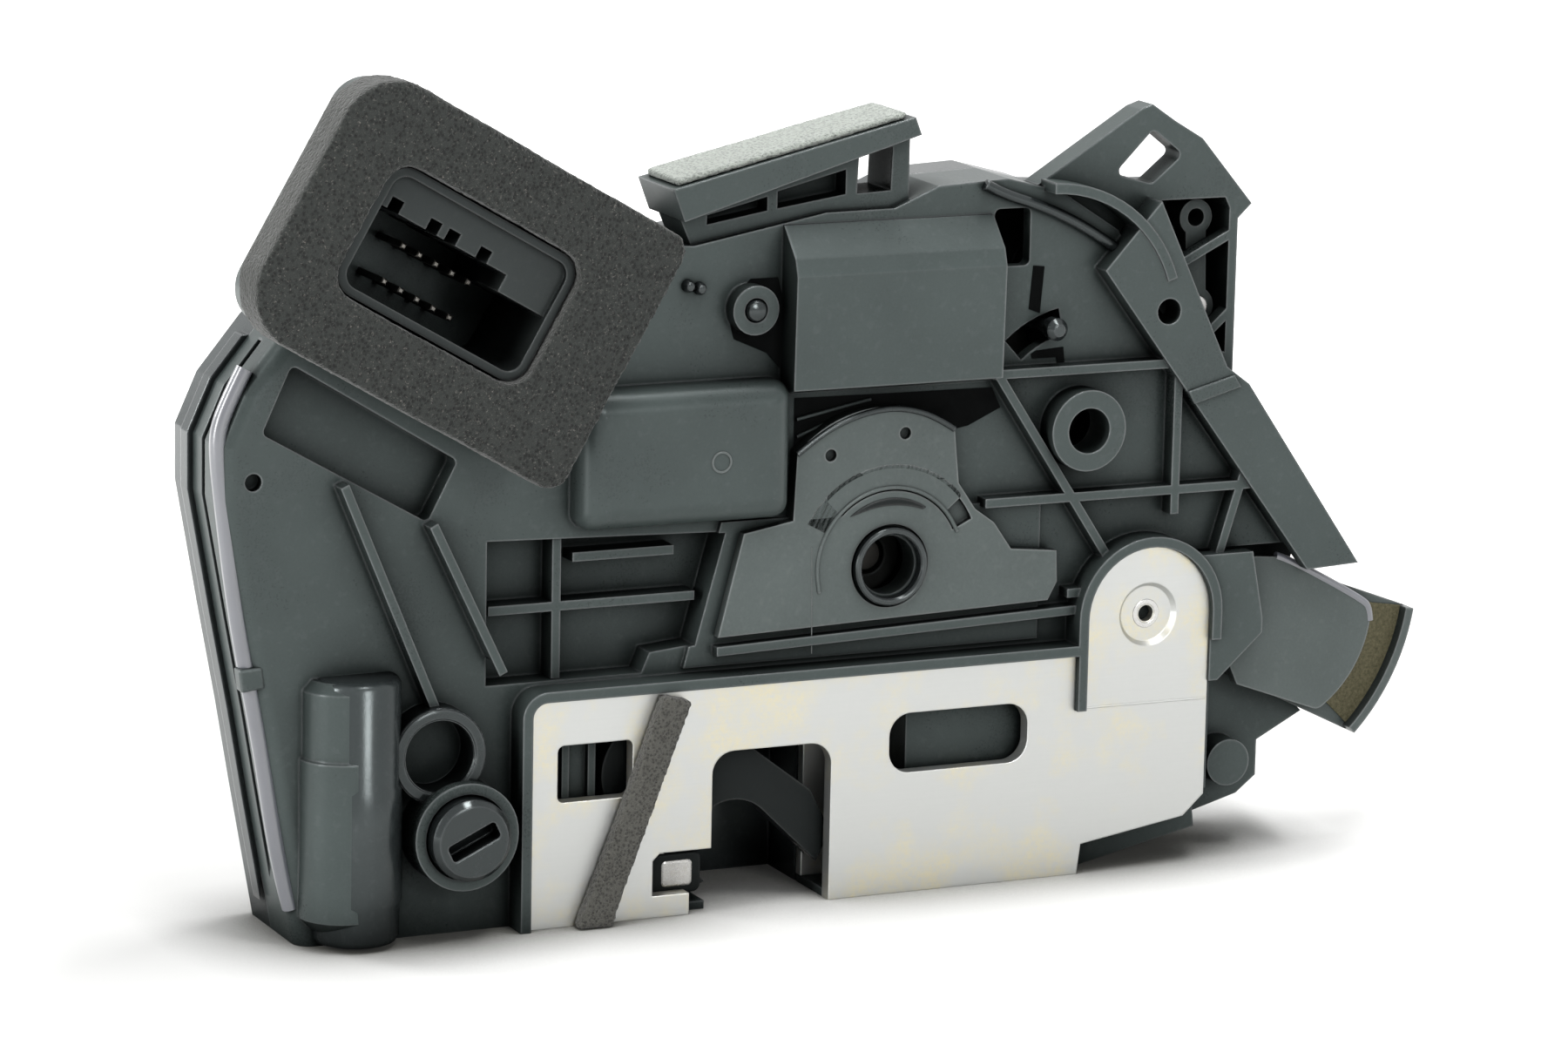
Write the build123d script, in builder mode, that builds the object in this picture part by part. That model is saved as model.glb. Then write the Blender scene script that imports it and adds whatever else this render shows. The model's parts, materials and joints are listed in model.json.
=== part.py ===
from build123d import *
from math import cos, pi, radians, sin
import os

os.makedirs("parts", exist_ok=True)

# Everything is drawn in the front view: x runs right along the latch plate, height runs up, and depth
# runs away from the viewer. The drawing origin is the lower left corner of the plate's front face.
# The datum moves it under the middle of the whole unit.
DATUM_X = 45.2
DATUM_DEPTH = 4.5

# ---------------------------------------------------------------- driving dimensions (mm)
PLATE_LENGTH = 77.7          # latch plate, lower left corner to the relief slot
PLATE_HEIGHT = 30.0
PLATE_THICK = 2.0
TAB_LEFT = 79.0              # mounting tab to the right of the relief slot
TAB_WIDTH = 18.5
TAB_TOP = 34.7               # centre height of the tab's round end
RIM_WALL = 1.4               # moulded rim round the plate
RIM_PROUD = 1.0              # how far the rim stands in front of the plate

MOUTH_X = 33.85              # striker mouth, centre line
MOUTH_WIDTH = 16.9
MOUTH_TOP = 21.3
MOUTH_ROUND = 3.0

FACE = 3.0                   # depth of the housing's front panel
WALL = 2.0                   # wall of both shells
RIB = 1.2                    # width of the stiffening ribs
RIB_PROUD = 2.4
SPLIT = 13.0                 # depth of the joint between housing and rear cover
BACK = 21.0                  # depth of the rear cover's outer face
GROOVE = 0.8                 # groove along the left side, in front of the cover's flange
FLANGE_PROUD = 0.7           # how far that flange stands out

CHAMBER_BACK = 8.6           # the latch chamber ends at the back plate
BACK_PLATE_THICK = 1.5
GAP = 0.4                    # clearance between moving pieces
RUN = 0.05                   # radial running clearance on a pin

CLAW_PIVOT = (18.4, 18.8)
CLAW_PIN_R = 3.5
CLAW_THICK = 4.0
CLAW_SLOT = 12.0             # width of the fork that takes the striker
CLAW_REACH = 27.0            # tip of the upper jaw
CLAW_HOOK = 16.8             # tip of the lower jaw
CLAW_LATCHED = -11.0         # slot direction when latched
CLAW_TRAVEL = 33.0
CLAW_SKIN = 0.9              # plastic jacket round the steel

CLAW_WIRE = 0.8
PAWL_WIRE = 0.7
PAWL_PIVOT = (52.5, 9.4)
PAWL_PIN_R = 2.6

WHEEL_HUB = (50.4, 43.9)
MODULE = 1.0
WHEEL_TEETH = 24
WORM_PITCH_R = 4.6
WHEEL_THICK = 5.0
WHEEL_PIN_R = 2.5
WORM_DEPTH = 10.9            # depth of the worm's axis
WORM_LENGTH = 14.0
MOTOR_R = 7.8
MOTOR_FLAT = 6.4             # half thickness of the can across its flats
MOTOR_LENGTH = 22.0
MOTOR_LEFT = 10.4
SHAFT_R = 1.0

LOCK_PIVOT = (78.3, 60.2)
LOCK_PIN_R = 2.0
LOCK_TRAVEL = 15.0
BALL_REACH = 14.4
BALL_ANGLE = 109.4

QUADRANT_PIVOT = (101.6, 36.0)
QUADRANT_PIN_R = 2.0
QUADRANT_R = 22.4
QUADRANT_FLANGE_R = 30.4

RELEASE_PIVOT = (97.3, 74.5)
RELEASE_PIN_R = 1.5
RELEASE_REACH = 12.0

RELEASE_FRONT = 6.4
LOOP_THICK = 4.0             # thickness of the cable bracket's loop
KNOB_CENTRE = (-9.5, 13.9)
KNOB_R = 5.3
KNOB_SHAFT_R = 2.4
KNOB_FRONT = -5.0
RING_CENTRE = (-12.5, 24.2)  # open ring above the knob

TAB_HOLE_R = 1.1
LOCK_FRONT = 16.2            # lock lever, a flat lever behind the worm wheel
LOCK_THICK = 2.0

PAD_TURN = -30.0             # the connector and its foam pad lean thirty degrees to the right
PAD_LENGTH = 49.0
PAD_WIDTH = 35.5
PAD_THICK = 7.0
PAD_CENTRE = (-13.94, 86.85)
SOCKET_LENGTH = 28.5
SOCKET_WIDTH = 17.3
SOCKET_SHIFT = (-1.0, 0.1)   # socket centre from the pad centre, along the pad
TOWER_FRONT = -5.0           # depth of the connector tower's face, behind the pad
SOCKET_FLOOR = 6.5
SHROUD_WALL = 1.1
SHROUD_FRONT = -10.5
STRIP_THICK = 2.4
LEDGE = 4.6                  # coding ledge along the socket's upper side
BLOCK = 7.0                  # blind block at the right end of the socket
PIN_PITCH = 2.5
PIN_ROWS = 5.0
PIN_COLUMNS = 5
PIN_SIDE = 0.8
PIN_SHIFT = (SOCKET_SHIFT[0] + 0.6, SOCKET_SHIFT[1] - LEDGE / 2)
CARRIER_FRONT = 14.6         # depth of the circuit carrier's front face

SCREW_R = 1.2
SCREW_HEAD_R = 2.6
BOSS_R = 3.2
RIVET_R = 1.5
RIVET_HEAD_R = 2.7

CLAW_FRONT = PLATE_THICK + GAP
CLAW_BACK = CLAW_FRONT + CLAW_THICK
BACK_PLATE_BACK = CHAMBER_BACK + BACK_PLATE_THICK
LOCK_BACK = LOCK_FRONT + LOCK_THICK
WHEEL_PHASE = 0.25 * 360 / WHEEL_TEETH     # brings a tooth space over the worm's thread
WHEEL_FRONT = WORM_DEPTH - WHEEL_THICK / 2
WHEEL_PITCH_R = MODULE * WHEEL_TEETH / 2
WORM_HEIGHT = WHEEL_HUB[1] + WHEEL_PITCH_R + WORM_PITCH_R
TAB_CENTRE = (TAB_LEFT + TAB_WIDTH / 2, TAB_TOP)
TAB_RIGHT = TAB_LEFT + TAB_WIDTH
MOUTH_LEFT = MOUTH_X - MOUTH_WIDTH / 2
MOUTH_RIGHT = MOUTH_X + MOUTH_WIDTH / 2


# ---------------------------------------------------------------- drawing helpers
def at_depth(depth, origin=(0, 0), turn=0):
    """Front-view plane: x right, y up, normal toward the viewer. turn is counter-clockwise."""
    across = (cos(radians(turn)), 0, sin(radians(turn)))
    return Plane(origin=(origin[0] - DATUM_X, depth - DATUM_DEPTH, origin[1]), x_dir=across, z_dir=(0, -1, 0))


def raised(profiles, front, back, mode=Mode.ADD, origin=(0, 0), turn=0):
    """Raise one or more front-view profiles from depth back toward the viewer, as far as depth front."""
    with BuildSketch(at_depth(back, origin, turn)) as face:
        add(profiles)
    extrude(face.sketch, amount=back - front, mode=mode)


def cut(profiles, front, back, origin=(0, 0), turn=0):
    raised(profiles, front, back, Mode.SUBTRACT, origin, turn)


def polygon(*corners, soften=0):
    with BuildSketch() as shape:
        with BuildLine():
            Polyline(*corners, close=True)
        make_face()
        if soften:
            fillet(shape.vertices(), soften)
    return shape.sketch


def slab(left, low, right, high, soften=0):
    return polygon((left, low), (right, low), (right, high), (left, high), soften=soften)


def disc(centre, radius):
    with BuildSketch() as shape:
        with Locations(centre):
            Circle(radius)
    return shape.sketch


def bar(start, end, width):
    """A straight rib with round ends, between two points."""
    with BuildSketch() as shape:
        with BuildLine():
            spine = Line(start, end)
        trace(spine, width)
    return shape.sketch


def widened(profile, amount, kind=Kind.ARC):
    with BuildSketch() as shape:
        add(profile)
        offset(amount=amount, kind=kind)
    return shape.sketch


def arc_band(centre, radius, width, start, sweep):
    """Part of a ring, from angle start through sweep degrees."""
    with BuildSketch() as shape:
        with BuildLine() as line:
            inner = CenterArc(centre, radius - width / 2, start, sweep)
            outer = CenterArc(centre, radius + width / 2, start, sweep)
            Line(inner @ 0, outer @ 0)
            Line(inner @ 1, outer @ 1)
        make_face()
    return shape.sketch


def polar(radius, angle, centre=(0, 0)):
    return (centre[0] + radius * cos(radians(angle)), centre[1] + radius * sin(radians(angle)))


def finish(name, builder):
    builder.part.label = name
    export_step(builder.part, f"parts/{name}.step")


pad_plane = at_depth(TOWER_FRONT, PAD_CENTRE, PAD_TURN)


# ---------------------------------------------------------------- shared profiles
with BuildSketch() as plate_sk:
    with BuildLine():
        Polyline(
            (0, 0), (PLATE_LENGTH + 1, 0), (TAB_LEFT + 0.2, 4.1), (TAB_RIGHT - 3, 6.6), (TAB_RIGHT, 9.4),
            (TAB_RIGHT, TAB_TOP), (TAB_LEFT, TAB_TOP), (TAB_LEFT, 22.5), (PLATE_LENGTH, 22.5),
            (PLATE_LENGTH, PLATE_HEIGHT), (0, PLATE_HEIGHT), close=True)
    make_face()
    fillet(plate_sk.vertices().group_by(Axis.X)[0].sort_by(Axis.Y)[-1], 2)
    with Locations(TAB_CENTRE):
        Circle(TAB_WIDTH / 2)
plate_outline = plate_sk.sketch

with BuildSketch() as mouth_sk:
    with Locations((MOUTH_X, MOUTH_TOP / 2 - 2)):
        Rectangle(MOUTH_WIDTH, MOUTH_TOP + 4)
    fillet(mouth_sk.vertices().group_by(Axis.Y)[-1], MOUTH_ROUND)
mouth = mouth_sk.sketch

shell_outline = polygon(
    (-30.1, 0), (-33.3, 17.6), (-35.3, 29.2), (-37.7, 41.9), (-40.6, 58), (-40.6, 65), (-37.7, 71.5),
    (-32, 78.5), (-25.5, 84), (-24.2, 92), (-19, 98.5), (-13.5, 98.5), (9, 88), (22.8, 86.9), (41.4, 90.3), (51, 90.4), (57.2, 93),
    (67.3, 93.5), (75, 91.5), (83.5, 86), (89, 77), (95, 69), (104, 55), (115, 42.4), (113.6, 37),
    (109.9, 24.8), (116.6, 17.4), (109.9, 13.9), (109.9, 9), (107, 6.7), (98, 4.2), (PLATE_LENGTH + 1, 0))
shell_inside = widened(shell_outline, -WALL, Kind.INTERSECTION)
left_side = slab(-60, 1, -31.5, 77)
flange_band = (widened(shell_outline, FLANGE_PROUD, Kind.INTERSECTION) - shell_inside) & left_side
groove_band = (widened(shell_outline, 1) - widened(shell_outline, -GROOVE, Kind.INTERSECTION)) & left_side

chamber = slab(1.3, 1.1, 76.4, 28.9, soften=1)
back_plate_outline = slab(1.3, 1.1, 76.4, 28.9, soften=1)

tunnel = slab(MOUTH_LEFT - 1.8, -2, MOUTH_RIGHT + 1.8, MOUTH_TOP + 1.8, soften=0.8)
screw_places = [(-26.5, 5.6), (-34.2, 62), (14.5, 81.5), (52, 84.5), (79.5, 79), (103.5, 47.5), (103.4, 12.2)]
rivet_places = [(5.6, 6.2), (73.2, 5.2), (64.5, 22.2)]

# ---------------------------------------------------------------- housing: the moulded front shell
motor_bulge = slab(6.2, 51.6, 35.3, 69.5, soften=2)
dark_pocket = polygon((-5, 31.9), (-5, 50.6), (27.6, 49.6), (23.6, 35.1), (17.6, 34.5), (16.5, 31.9))
channel = polygon((-31.2, 74.8), (-35.1, 66.3), (-13.1, 53.7), (-9.1, 61.3), soften=0.8)
centre_left, centre_right = 35.2, 65.0
shield_floor = polygon((22, 32.2), (27, 51), (64, 51), (72.9, 51), (72.9, 32.2))
beam = polygon((80.3, 81.2), (88.3, 90), (98.9, 67.4), (102.3, 64.9), (120.0, 39.4), (112.2, 39.0))
flange = polygon(
    (97.3, 42.4), (115, 42.4), (113.6, 37), (109.9, 24.8), (116.6, 17.4), (109.9, 13.9), (109.9, 9), (107, 6.7), (97.3, 4))
quadrant_bay = polygon((95.9, 42.3), (95.9, 20), (98, 3), (130, 3), (130, 42.3))
pin_lug = polygon((96, 42.2), (103.6, 42.2), (105.4, 33), (105.4, 31), (98.8, 25), (96, 25))
front_ribs = [
    ((65.4, 68.2), (82.3, 42.7)), ((64, 51.2), (108.5, 51.2)), ((92, 47.9), (92, 68)), ((64.5, 68.2), (96, 68.2)),
    ((26, 34.4), (78, 36)), ((-25, 59.5), (-11.7, 27.8)), ((-13.1, 53.7), (-3.5, 33.9)), ((76.4, 38.3), (80, 38.3)),
    ((99, 42), (103, 55))]
pocket_ribs = [((4.8, 32), (4.8, 50.4)), ((7, 47.6), (21, 47.6)), ((-4.5, 41.4), (24, 41.4))]
ball_slot = arc_band(LOCK_PIVOT, BALL_REACH, 3.6, BALL_ANGLE - 8, LOCK_TRAVEL + 16)

with BuildPart() as housing:
    raised(shell_outline, FACE, SPLIT)
    side = housing.edges().filter_by(lambda e: abs(e.center().Y - (FACE - DATUM_DEPTH)) < 0.01)
    fillet(side.filter_by(lambda e: e.center().X < -28 - DATUM_X), 2.4)
    # raised boxes and bosses on the front panel
    raised(motor_bulge, -2.0, FACE + WALL)
    top_edge = housing.edges().filter_by(Axis.X).filter_by(
        lambda e: abs(e.center().Y - (-2 - DATUM_DEPTH)) < 0.01).sort_by(Axis.Z)[-1]
    fillet(top_edge, 3)
    raised(shield_floor, FACE - 0.8, FACE + WALL)
    raised(beam, 0, FACE + 1)
    raised(disc(LOCK_PIVOT, 5.4), -0.6, FACE + WALL)
    raised(disc(WHEEL_HUB, 5.4), FACE - 1.6, FACE + WALL)
    raised(disc(KNOB_CENTRE, KNOB_R + 1.7), -2.6, FACE + WALL)
    raised(disc(RING_CENTRE, 6.2), -0.6, FACE + WALL)
    raised(disc((30.6, 78.6), 3.2), 0.6, FACE + WALL)
    # sloping centre box, drawn in side view and run along x
    with BuildSketch(Plane(origin=(centre_right - DATUM_X, -DATUM_DEPTH, 0), x_dir=(0, 1, 0), z_dir=(1, 0, 0))):
        with BuildLine():
            Polyline((FACE + WALL, 66.6), (-1.4, 68.2), (-1.8, 83), (-1.0, 85.2), (2.6, 89), (5, 89), close=True)
        make_face()
    extrude(amount=-(centre_right - centre_left))
    # rounded barrel that stands beside the knob
    with BuildSketch(at_depth(FACE, (-24.25, 0))):
        with BuildLine():
            Polyline((0, 2.4), (4.2, 2.4), (5.75, 4), (5.75, 24.6), (5.4, 24.8), (5.4, 33.4), (4.2, 34.7), (0, 34.7),
                     close=True)
        make_face()
    revolve(axis=Axis((-24.25 - DATUM_X, FACE - DATUM_DEPTH, 0), (0, 0, 1)))
    # ribs
    raised([bar(start, end, RIB) for start, end in front_ribs], FACE - RIB_PROUD, FACE + 1)
    raised(arc_band((72.5, 73.8), 18.6, 1.4, 18, 72), -0.2, FACE + 1)
    # hollow of the shell
    cut(shell_inside, FACE + WALL, SPLIT)
    cut(slab(7.8, 53.2, 33.7, 68, soften=1), -0.4, FACE + WALL)
    cut(slab(37, 70, 63.2, 83), 0.4, FACE + WALL)
    # latch surround and connector tower
    raised(widened(plate_outline, RIM_WALL), -RIM_PROUD, FACE + WALL)
    cut(slab(TAB_RIGHT, 2, TAB_RIGHT + 4, TAB_TOP - 4), -RIM_PROUD, PLATE_THICK)
    cut(slab(PLATE_LENGTH + 1, -2, TAB_RIGHT + 4, 9.6), -RIM_PROUD, FACE)
    raised(widened(chamber, 1.4), FACE, BACK_PLATE_BACK)
    raised(pin_lug, -0.4, 1.9)
    raised([slab(TAB_RIGHT - 3.4, 4, TAB_RIGHT - 1.6, 44), slab(TAB_RIGHT - 3.4, 42.3, 106, 44)],
           FACE, CHAMBER_BACK)
    with BuildSketch(at_depth(SOCKET_FLOOR + WALL, PAD_CENTRE, PAD_TURN)):
        with Locations(SOCKET_SHIFT):
            RectangleRounded(SOCKET_LENGTH + 2 * WALL, SOCKET_WIDTH + 2 * WALL, 4)
    extrude(amount=SOCKET_FLOOR + WALL - TOWER_FRONT)
    with BuildSketch(at_depth(TOWER_FRONT + WALL, PAD_CENTRE, PAD_TURN)):
        RectangleRounded(PAD_LENGTH - 2, PAD_WIDTH - 2, 5)
    extrude(amount=WALL)

    # recessed pocket with its ribs, and the channel under the connector
    raised(widened(dark_pocket, 1.6), FACE + 0.5, FACE + 4 + WALL)
    cut(dark_pocket, FACE - 2, FACE + 4)
    raised([bar(start, end, RIB) for start, end in pocket_ribs], FACE + 0.6, FACE + 4)
    raised(widened(channel, 1.4), FACE + 1, FACE + 3 + WALL)
    cut(channel, FACE - 1, FACE + 3)

    # quadrant bay: the lower right corner opens to the side and its floor is the rear flange
    cut(quadrant_bay, PLATE_THICK + 0.1, CHAMBER_BACK - 0.6)
    raised(flange, CHAMBER_BACK - 0.6, CHAMBER_BACK + 1.4)

    # latch chamber, plate seat and back plate seat
    cut(plate_outline, -RIM_PROUD, PLATE_THICK)
    cut(chamber, PLATE_THICK, SPLIT)
    raised(slab(1.3, 1.1, 10.4, 27), PLATE_THICK + 1.2, CHAMBER_BACK)
    raised([slab(x - 0.5, 14, x + 0.5, 27) for x in (2.6, 5.8, 9.4)], PLATE_THICK + 0.2, CHAMBER_BACK)
    raised(slab(54.4, 15.4, 76.4, 28.9), PLATE_THICK + 1, CHAMBER_BACK)
    raised(slab(69.6, 1.1, 76.4, 9), PLATE_THICK + 0.4, CHAMBER_BACK)
    cut(mouth, -5, SPLIT + 1)
    cut(tunnel, BACK_PLATE_BACK, SPLIT)
    cut(slab(-60, -12, 150, 0), -20, 40)

    cut(groove_band, SPLIT - 4.6, SPLIT - 3.4)
    # screw bosses
    raised([disc(place, BOSS_R) for place in screw_places], FACE + 1, SPLIT)
    cut([disc(place, SCREW_R) for place in screw_places], FACE + 3, SPLIT)
    cut([disc(place, RIVET_R) for place in rivet_places], PLATE_THICK + 2.4, CHAMBER_BACK)

    # bores through the front
    cut(disc(WHEEL_HUB, 3.9), -2, FACE + WALL)
    cut(disc(LOCK_PIVOT, 3.0), -2, FACE + WALL)
    cut(disc(KNOB_CENTRE, KNOB_R + 0.3), -3, -0.6)
    cut(disc(KNOB_CENTRE, KNOB_SHAFT_R + RUN), -1, FACE + WALL)
    cut(disc(RING_CENTRE, 4.7), -1, FACE + 1)
    cut(disc((30.6, 78.6), 1.6), 0, 2.4)
    cut(disc((89.9, 75.3), 1.7), -1, FACE + WALL)
    cut(disc((-36.2, 60.3), 1.1), 2, FACE + 1.4)
    cut(disc(QUADRANT_PIVOT, QUADRANT_PIN_R), 0.6, CHAMBER_BACK + 1.4)
    cut(ball_slot, -1, FACE + WALL)
    cut(slab(65.4, 82, 70.6, 89.6, soften=0.8), 0, FACE + WALL)
    # connector socket
    with BuildSketch(at_depth(SOCKET_FLOOR, PAD_CENTRE, PAD_TURN)):
        with Locations(SOCKET_SHIFT):
            RectangleRounded(SOCKET_LENGTH, SOCKET_WIDTH, 3)
    extrude(amount=SOCKET_FLOOR + 20, mode=Mode.SUBTRACT)
    with BuildSketch(at_depth(SOCKET_FLOOR + WALL, PAD_CENTRE, PAD_TURN)):
        with Locations(PIN_SHIFT):
            with GridLocations(PIN_PITCH, PIN_ROWS, PIN_COLUMNS, 2):
                Rectangle(PIN_SIDE, PIN_SIDE)
    extrude(amount=WALL, mode=Mode.SUBTRACT)
finish("housing", housing)

# ---------------------------------------------------------------- rear cover
buffer_seat = slab(MOUTH_X - 6, MOUTH_TOP - 0.5, MOUTH_X + 6, MOUTH_TOP + 1.3)
wheel_pin_boss = 4.2
with BuildPart() as rear_cover:
    raised(shell_outline, SPLIT, BACK)
    back_rim = rear_cover.edges().filter_by(lambda e: abs(e.center().Y - (BACK - DATUM_DEPTH)) < 0.01)
    chamfer(back_rim, 1.2)
    raised(flange_band, SPLIT, SPLIT + 2.6)
    cut(shell_inside, SPLIT, BACK - WALL)
    raised([disc(place, BOSS_R) for place in screw_places], SPLIT, BACK - 0.6)
    raised(tunnel, BACK_PLATE_BACK + GAP, BACK - WALL)
    cut(mouth, 0, BACK - WALL)
    cut(slab(-60, -12, 150, 0), 0, 40)
    raised(disc(WHEEL_HUB, wheel_pin_boss), WHEEL_FRONT + WHEEL_THICK + 3.2, BACK)
    raised(disc(LOCK_PIVOT, wheel_pin_boss), LOCK_BACK + GAP, BACK)
    raised(disc(KNOB_CENTRE, 4.0), SPLIT + 3.4, BACK)
    cut([disc(place, SCREW_R + 0.3) for place in screw_places], SPLIT, BACK)
    cut([disc(place, SCREW_HEAD_R + 0.3) for place in screw_places], BACK - 2.2, BACK)
    cut(buffer_seat, BACK_PLATE_BACK + 1.5, BACK - WALL - 1)
    raised([slab(x - 1, WORM_HEIGHT - 4, x + 1, WORM_HEIGHT + 4) for x in (MOTOR_LEFT + 4, MOTOR_LEFT + 18)],
           WORM_DEPTH + MOTOR_FLAT, BACK - WALL)
    cut(disc(WHEEL_HUB, WHEEL_PIN_R), SPLIT, BACK - 1)
    cut(disc(LOCK_PIVOT, LOCK_PIN_R), SPLIT, BACK - 1)
    cut(disc(KNOB_CENTRE, KNOB_SHAFT_R + RUN), SPLIT, BACK - 1)
    # stiffening ribs on the outside of the cover
    cut([slab(-28, 8, -6, 58, soften=3), slab(50, 6, 92, 36, soften=3), slab(30, 50, 62, 80, soften=3)],
        BACK - 0.8, BACK)
    raised([bar((-28, y + 12), (-6, y - 4), RIB) for y in (18, 32, 46)]
           + [bar((50, y + 4), (92, y), RIB) for y in (14, 26)]
           + [bar((30, y), (62, y), RIB) for y in (60, 70)], BACK - 0.9, BACK)
finish("rear_cover", rear_cover)

# ---------------------------------------------------------------- steel plates
square_window = slab(3.8, 16.5, 14.2, 24, soften=0.9)
long_window = slab(PLATE_LENGTH - 27.1, 16.2, PLATE_LENGTH - 6.9, 24.2, soften=3)
side_notch = polygon((17.2, 2.9), (26, 2.9), (26, 8.6), (18.2, 8.6), (17.2, 7.6))
strip_end = slab(22.4, -1, 26, 3)
with BuildPart() as latch_plate:
    raised(plate_outline, 0, PLATE_THICK)
    cut([mouth, square_window, long_window, side_notch, strip_end], -1, PLATE_THICK)
    with BuildSketch(at_depth(0, TAB_CENTRE)):
        Circle(4.3)
    extrude(amount=-0.7, taper=40, mode=Mode.SUBTRACT)
    cut(disc(TAB_CENTRE, TAB_HOLE_R), 0, PLATE_THICK)
    cut(disc(CLAW_PIVOT, CLAW_PIN_R), PLATE_THICK - 1.1, PLATE_THICK)
    cut(disc(PAWL_PIVOT, PAWL_PIN_R), PLATE_THICK - 1.1, PLATE_THICK)
finish("latch_plate", latch_plate)

with BuildPart() as latch_back_plate:
    raised(back_plate_outline, CHAMBER_BACK, BACK_PLATE_BACK)
    cut(mouth, CHAMBER_BACK, BACK_PLATE_BACK)
    cut([disc(CLAW_PIVOT, CLAW_PIN_R), disc(PAWL_PIVOT, PAWL_PIN_R)], CHAMBER_BACK, BACK_PLATE_BACK)
    cut([disc(place, RIVET_R) for place in rivet_places], CHAMBER_BACK, BACK_PLATE_BACK)
finish("latch_back_plate", latch_back_plate)

with BuildPart() as plate_rivets:
    raised([disc(place, RIVET_R) for place in rivet_places], PLATE_THICK + 2.4, BACK_PLATE_BACK)
    raised([disc(place, RIVET_HEAD_R) for place in rivet_places], BACK_PLATE_BACK, BACK_PLATE_BACK + 1.2)
finish("plate_rivets", plate_rivets)

# ---------------------------------------------------------------- claw, pawl and their pins
def claw_shape(inset):
    """Claw seen from the front with its fork along +x; inset shrinks it evenly for the steel core."""
    half = CLAW_SLOT / 2 + inset
    reach, hook = CLAW_REACH - inset, CLAW_HOOK - inset
    fork = (15.4, 0)
    with BuildSketch() as shape:
        Circle(7.5 - inset)
        with BuildLine():
            Polyline((0, 0), (-4, 6.0 - inset), (2, 8.8 - inset), (9, 11 - inset), (19, 12.2 - inset),
                     polar(reach, 22 - 2 * inset))
            Line(polar(reach, 22 - 2 * inset), ((reach ** 2 - half ** 2) ** 0.5, half))
            Polyline(((reach ** 2 - half ** 2) ** 0.5, half), (10, 0), (0, 0))
        make_face()
        with BuildLine():
            low = ThreePointArc(polar(hook, -12), polar(hook, -40), polar(hook, -60))
            Polyline(low @ 1, (-5.4 + inset, -5.2 + inset), (0, 0), low @ 0)
        make_face()
        with Locations(fork):
            Circle(half, mode=Mode.SUBTRACT)
        with Locations((fork[0] + 15, 0)):
            Rectangle(30, 2 * half, mode=Mode.SUBTRACT)
    return shape.sketch


claw_profile = claw_shape(0)
with BuildSketch() as bare_hook:
    with Locations((7.4, -14.2)):
        Circle(7.4)
    add(claw_profile, mode=Mode.INTERSECT)
with BuildSketch() as bare_catch:
    with Locations(polar(CLAW_REACH, 15)):
        Circle(3.2)
    add(claw_profile, mode=Mode.INTERSECT)
claw_rest = CLAW_LATCHED - CLAW_TRAVEL


def claw_steel(mode):
    """The steel inside the jacket, and the hook that comes through it bare."""
    raised([claw_shape(CLAW_SKIN), bare_catch.sketch], CLAW_FRONT + CLAW_SKIN, CLAW_BACK - CLAW_SKIN, mode,
           CLAW_PIVOT, claw_rest)
    raised(bare_hook.sketch, CLAW_FRONT, CLAW_BACK, mode, CLAW_PIVOT, claw_rest)


with BuildPart() as claw:
    claw_steel(Mode.ADD)
    cut(disc((0, 0), CLAW_PIN_R + RUN), CLAW_FRONT, CLAW_BACK, origin=CLAW_PIVOT)
finish("claw", claw)

with BuildPart() as claw_overmould:
    raised(claw_profile, CLAW_FRONT, CLAW_BACK, origin=CLAW_PIVOT, turn=claw_rest)
    claw_steel(Mode.SUBTRACT)
    cut(disc((0, 0), CLAW_PIN_R + RUN), CLAW_FRONT, CLAW_BACK, origin=CLAW_PIVOT)
finish("claw_overmould", claw_overmould)

with BuildPart() as claw_pin:
    raised(disc(CLAW_PIVOT, CLAW_PIN_R), PLATE_THICK - 1.1, BACK_PLATE_BACK)
    raised(disc(CLAW_PIVOT, CLAW_PIN_R + 1.4), BACK_PLATE_BACK, BACK_PLATE_BACK + 1.3)
finish("claw_pin", claw_pin)

with BuildSketch() as pawl_sk:
    with BuildLine():
        nose = ThreePointArc(polar(CLAW_REACH + GAP, CLAW_LATCHED + 2, CLAW_PIVOT),
                             polar(CLAW_REACH + GAP, CLAW_LATCHED + 6, CLAW_PIVOT),
                             polar(CLAW_REACH + GAP, CLAW_LATCHED + 11, CLAW_PIVOT))
        Polyline(nose @ 1, (48.4, 18.6), (51.2, 14.6), (56.6, 11.2), (PAWL_PIVOT[0] - 1, PAWL_PIVOT[1] - 4),
                 (PAWL_PIVOT[0] - 4.4, PAWL_PIVOT[1] - 1.4), nose @ 0)
    make_face()
    with Locations(PAWL_PIVOT):
        Circle(4.6)
    with BuildLine():
        Polyline((53, 5.4), (66.4, 9.6), (67.2, 12.0), (65.6, 13.2), (53, 13.6), close=True)
    make_face()
pawl_profile = pawl_sk.sketch
with BuildPart() as pawl:
    raised(pawl_profile, CLAW_FRONT, CLAW_BACK)
    cut(disc(PAWL_PIVOT, PAWL_PIN_R + RUN), CLAW_FRONT, CLAW_BACK)
finish("pawl", pawl)

with BuildPart() as pawl_pin:
    raised(disc(PAWL_PIVOT, PAWL_PIN_R), PLATE_THICK - 1.1, BACK_PLATE_BACK)
    raised(disc(PAWL_PIVOT, PAWL_PIN_R + 1.3), BACK_PLATE_BACK, BACK_PLATE_BACK + 1.3)
finish("pawl_pin", pawl_pin)


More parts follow.
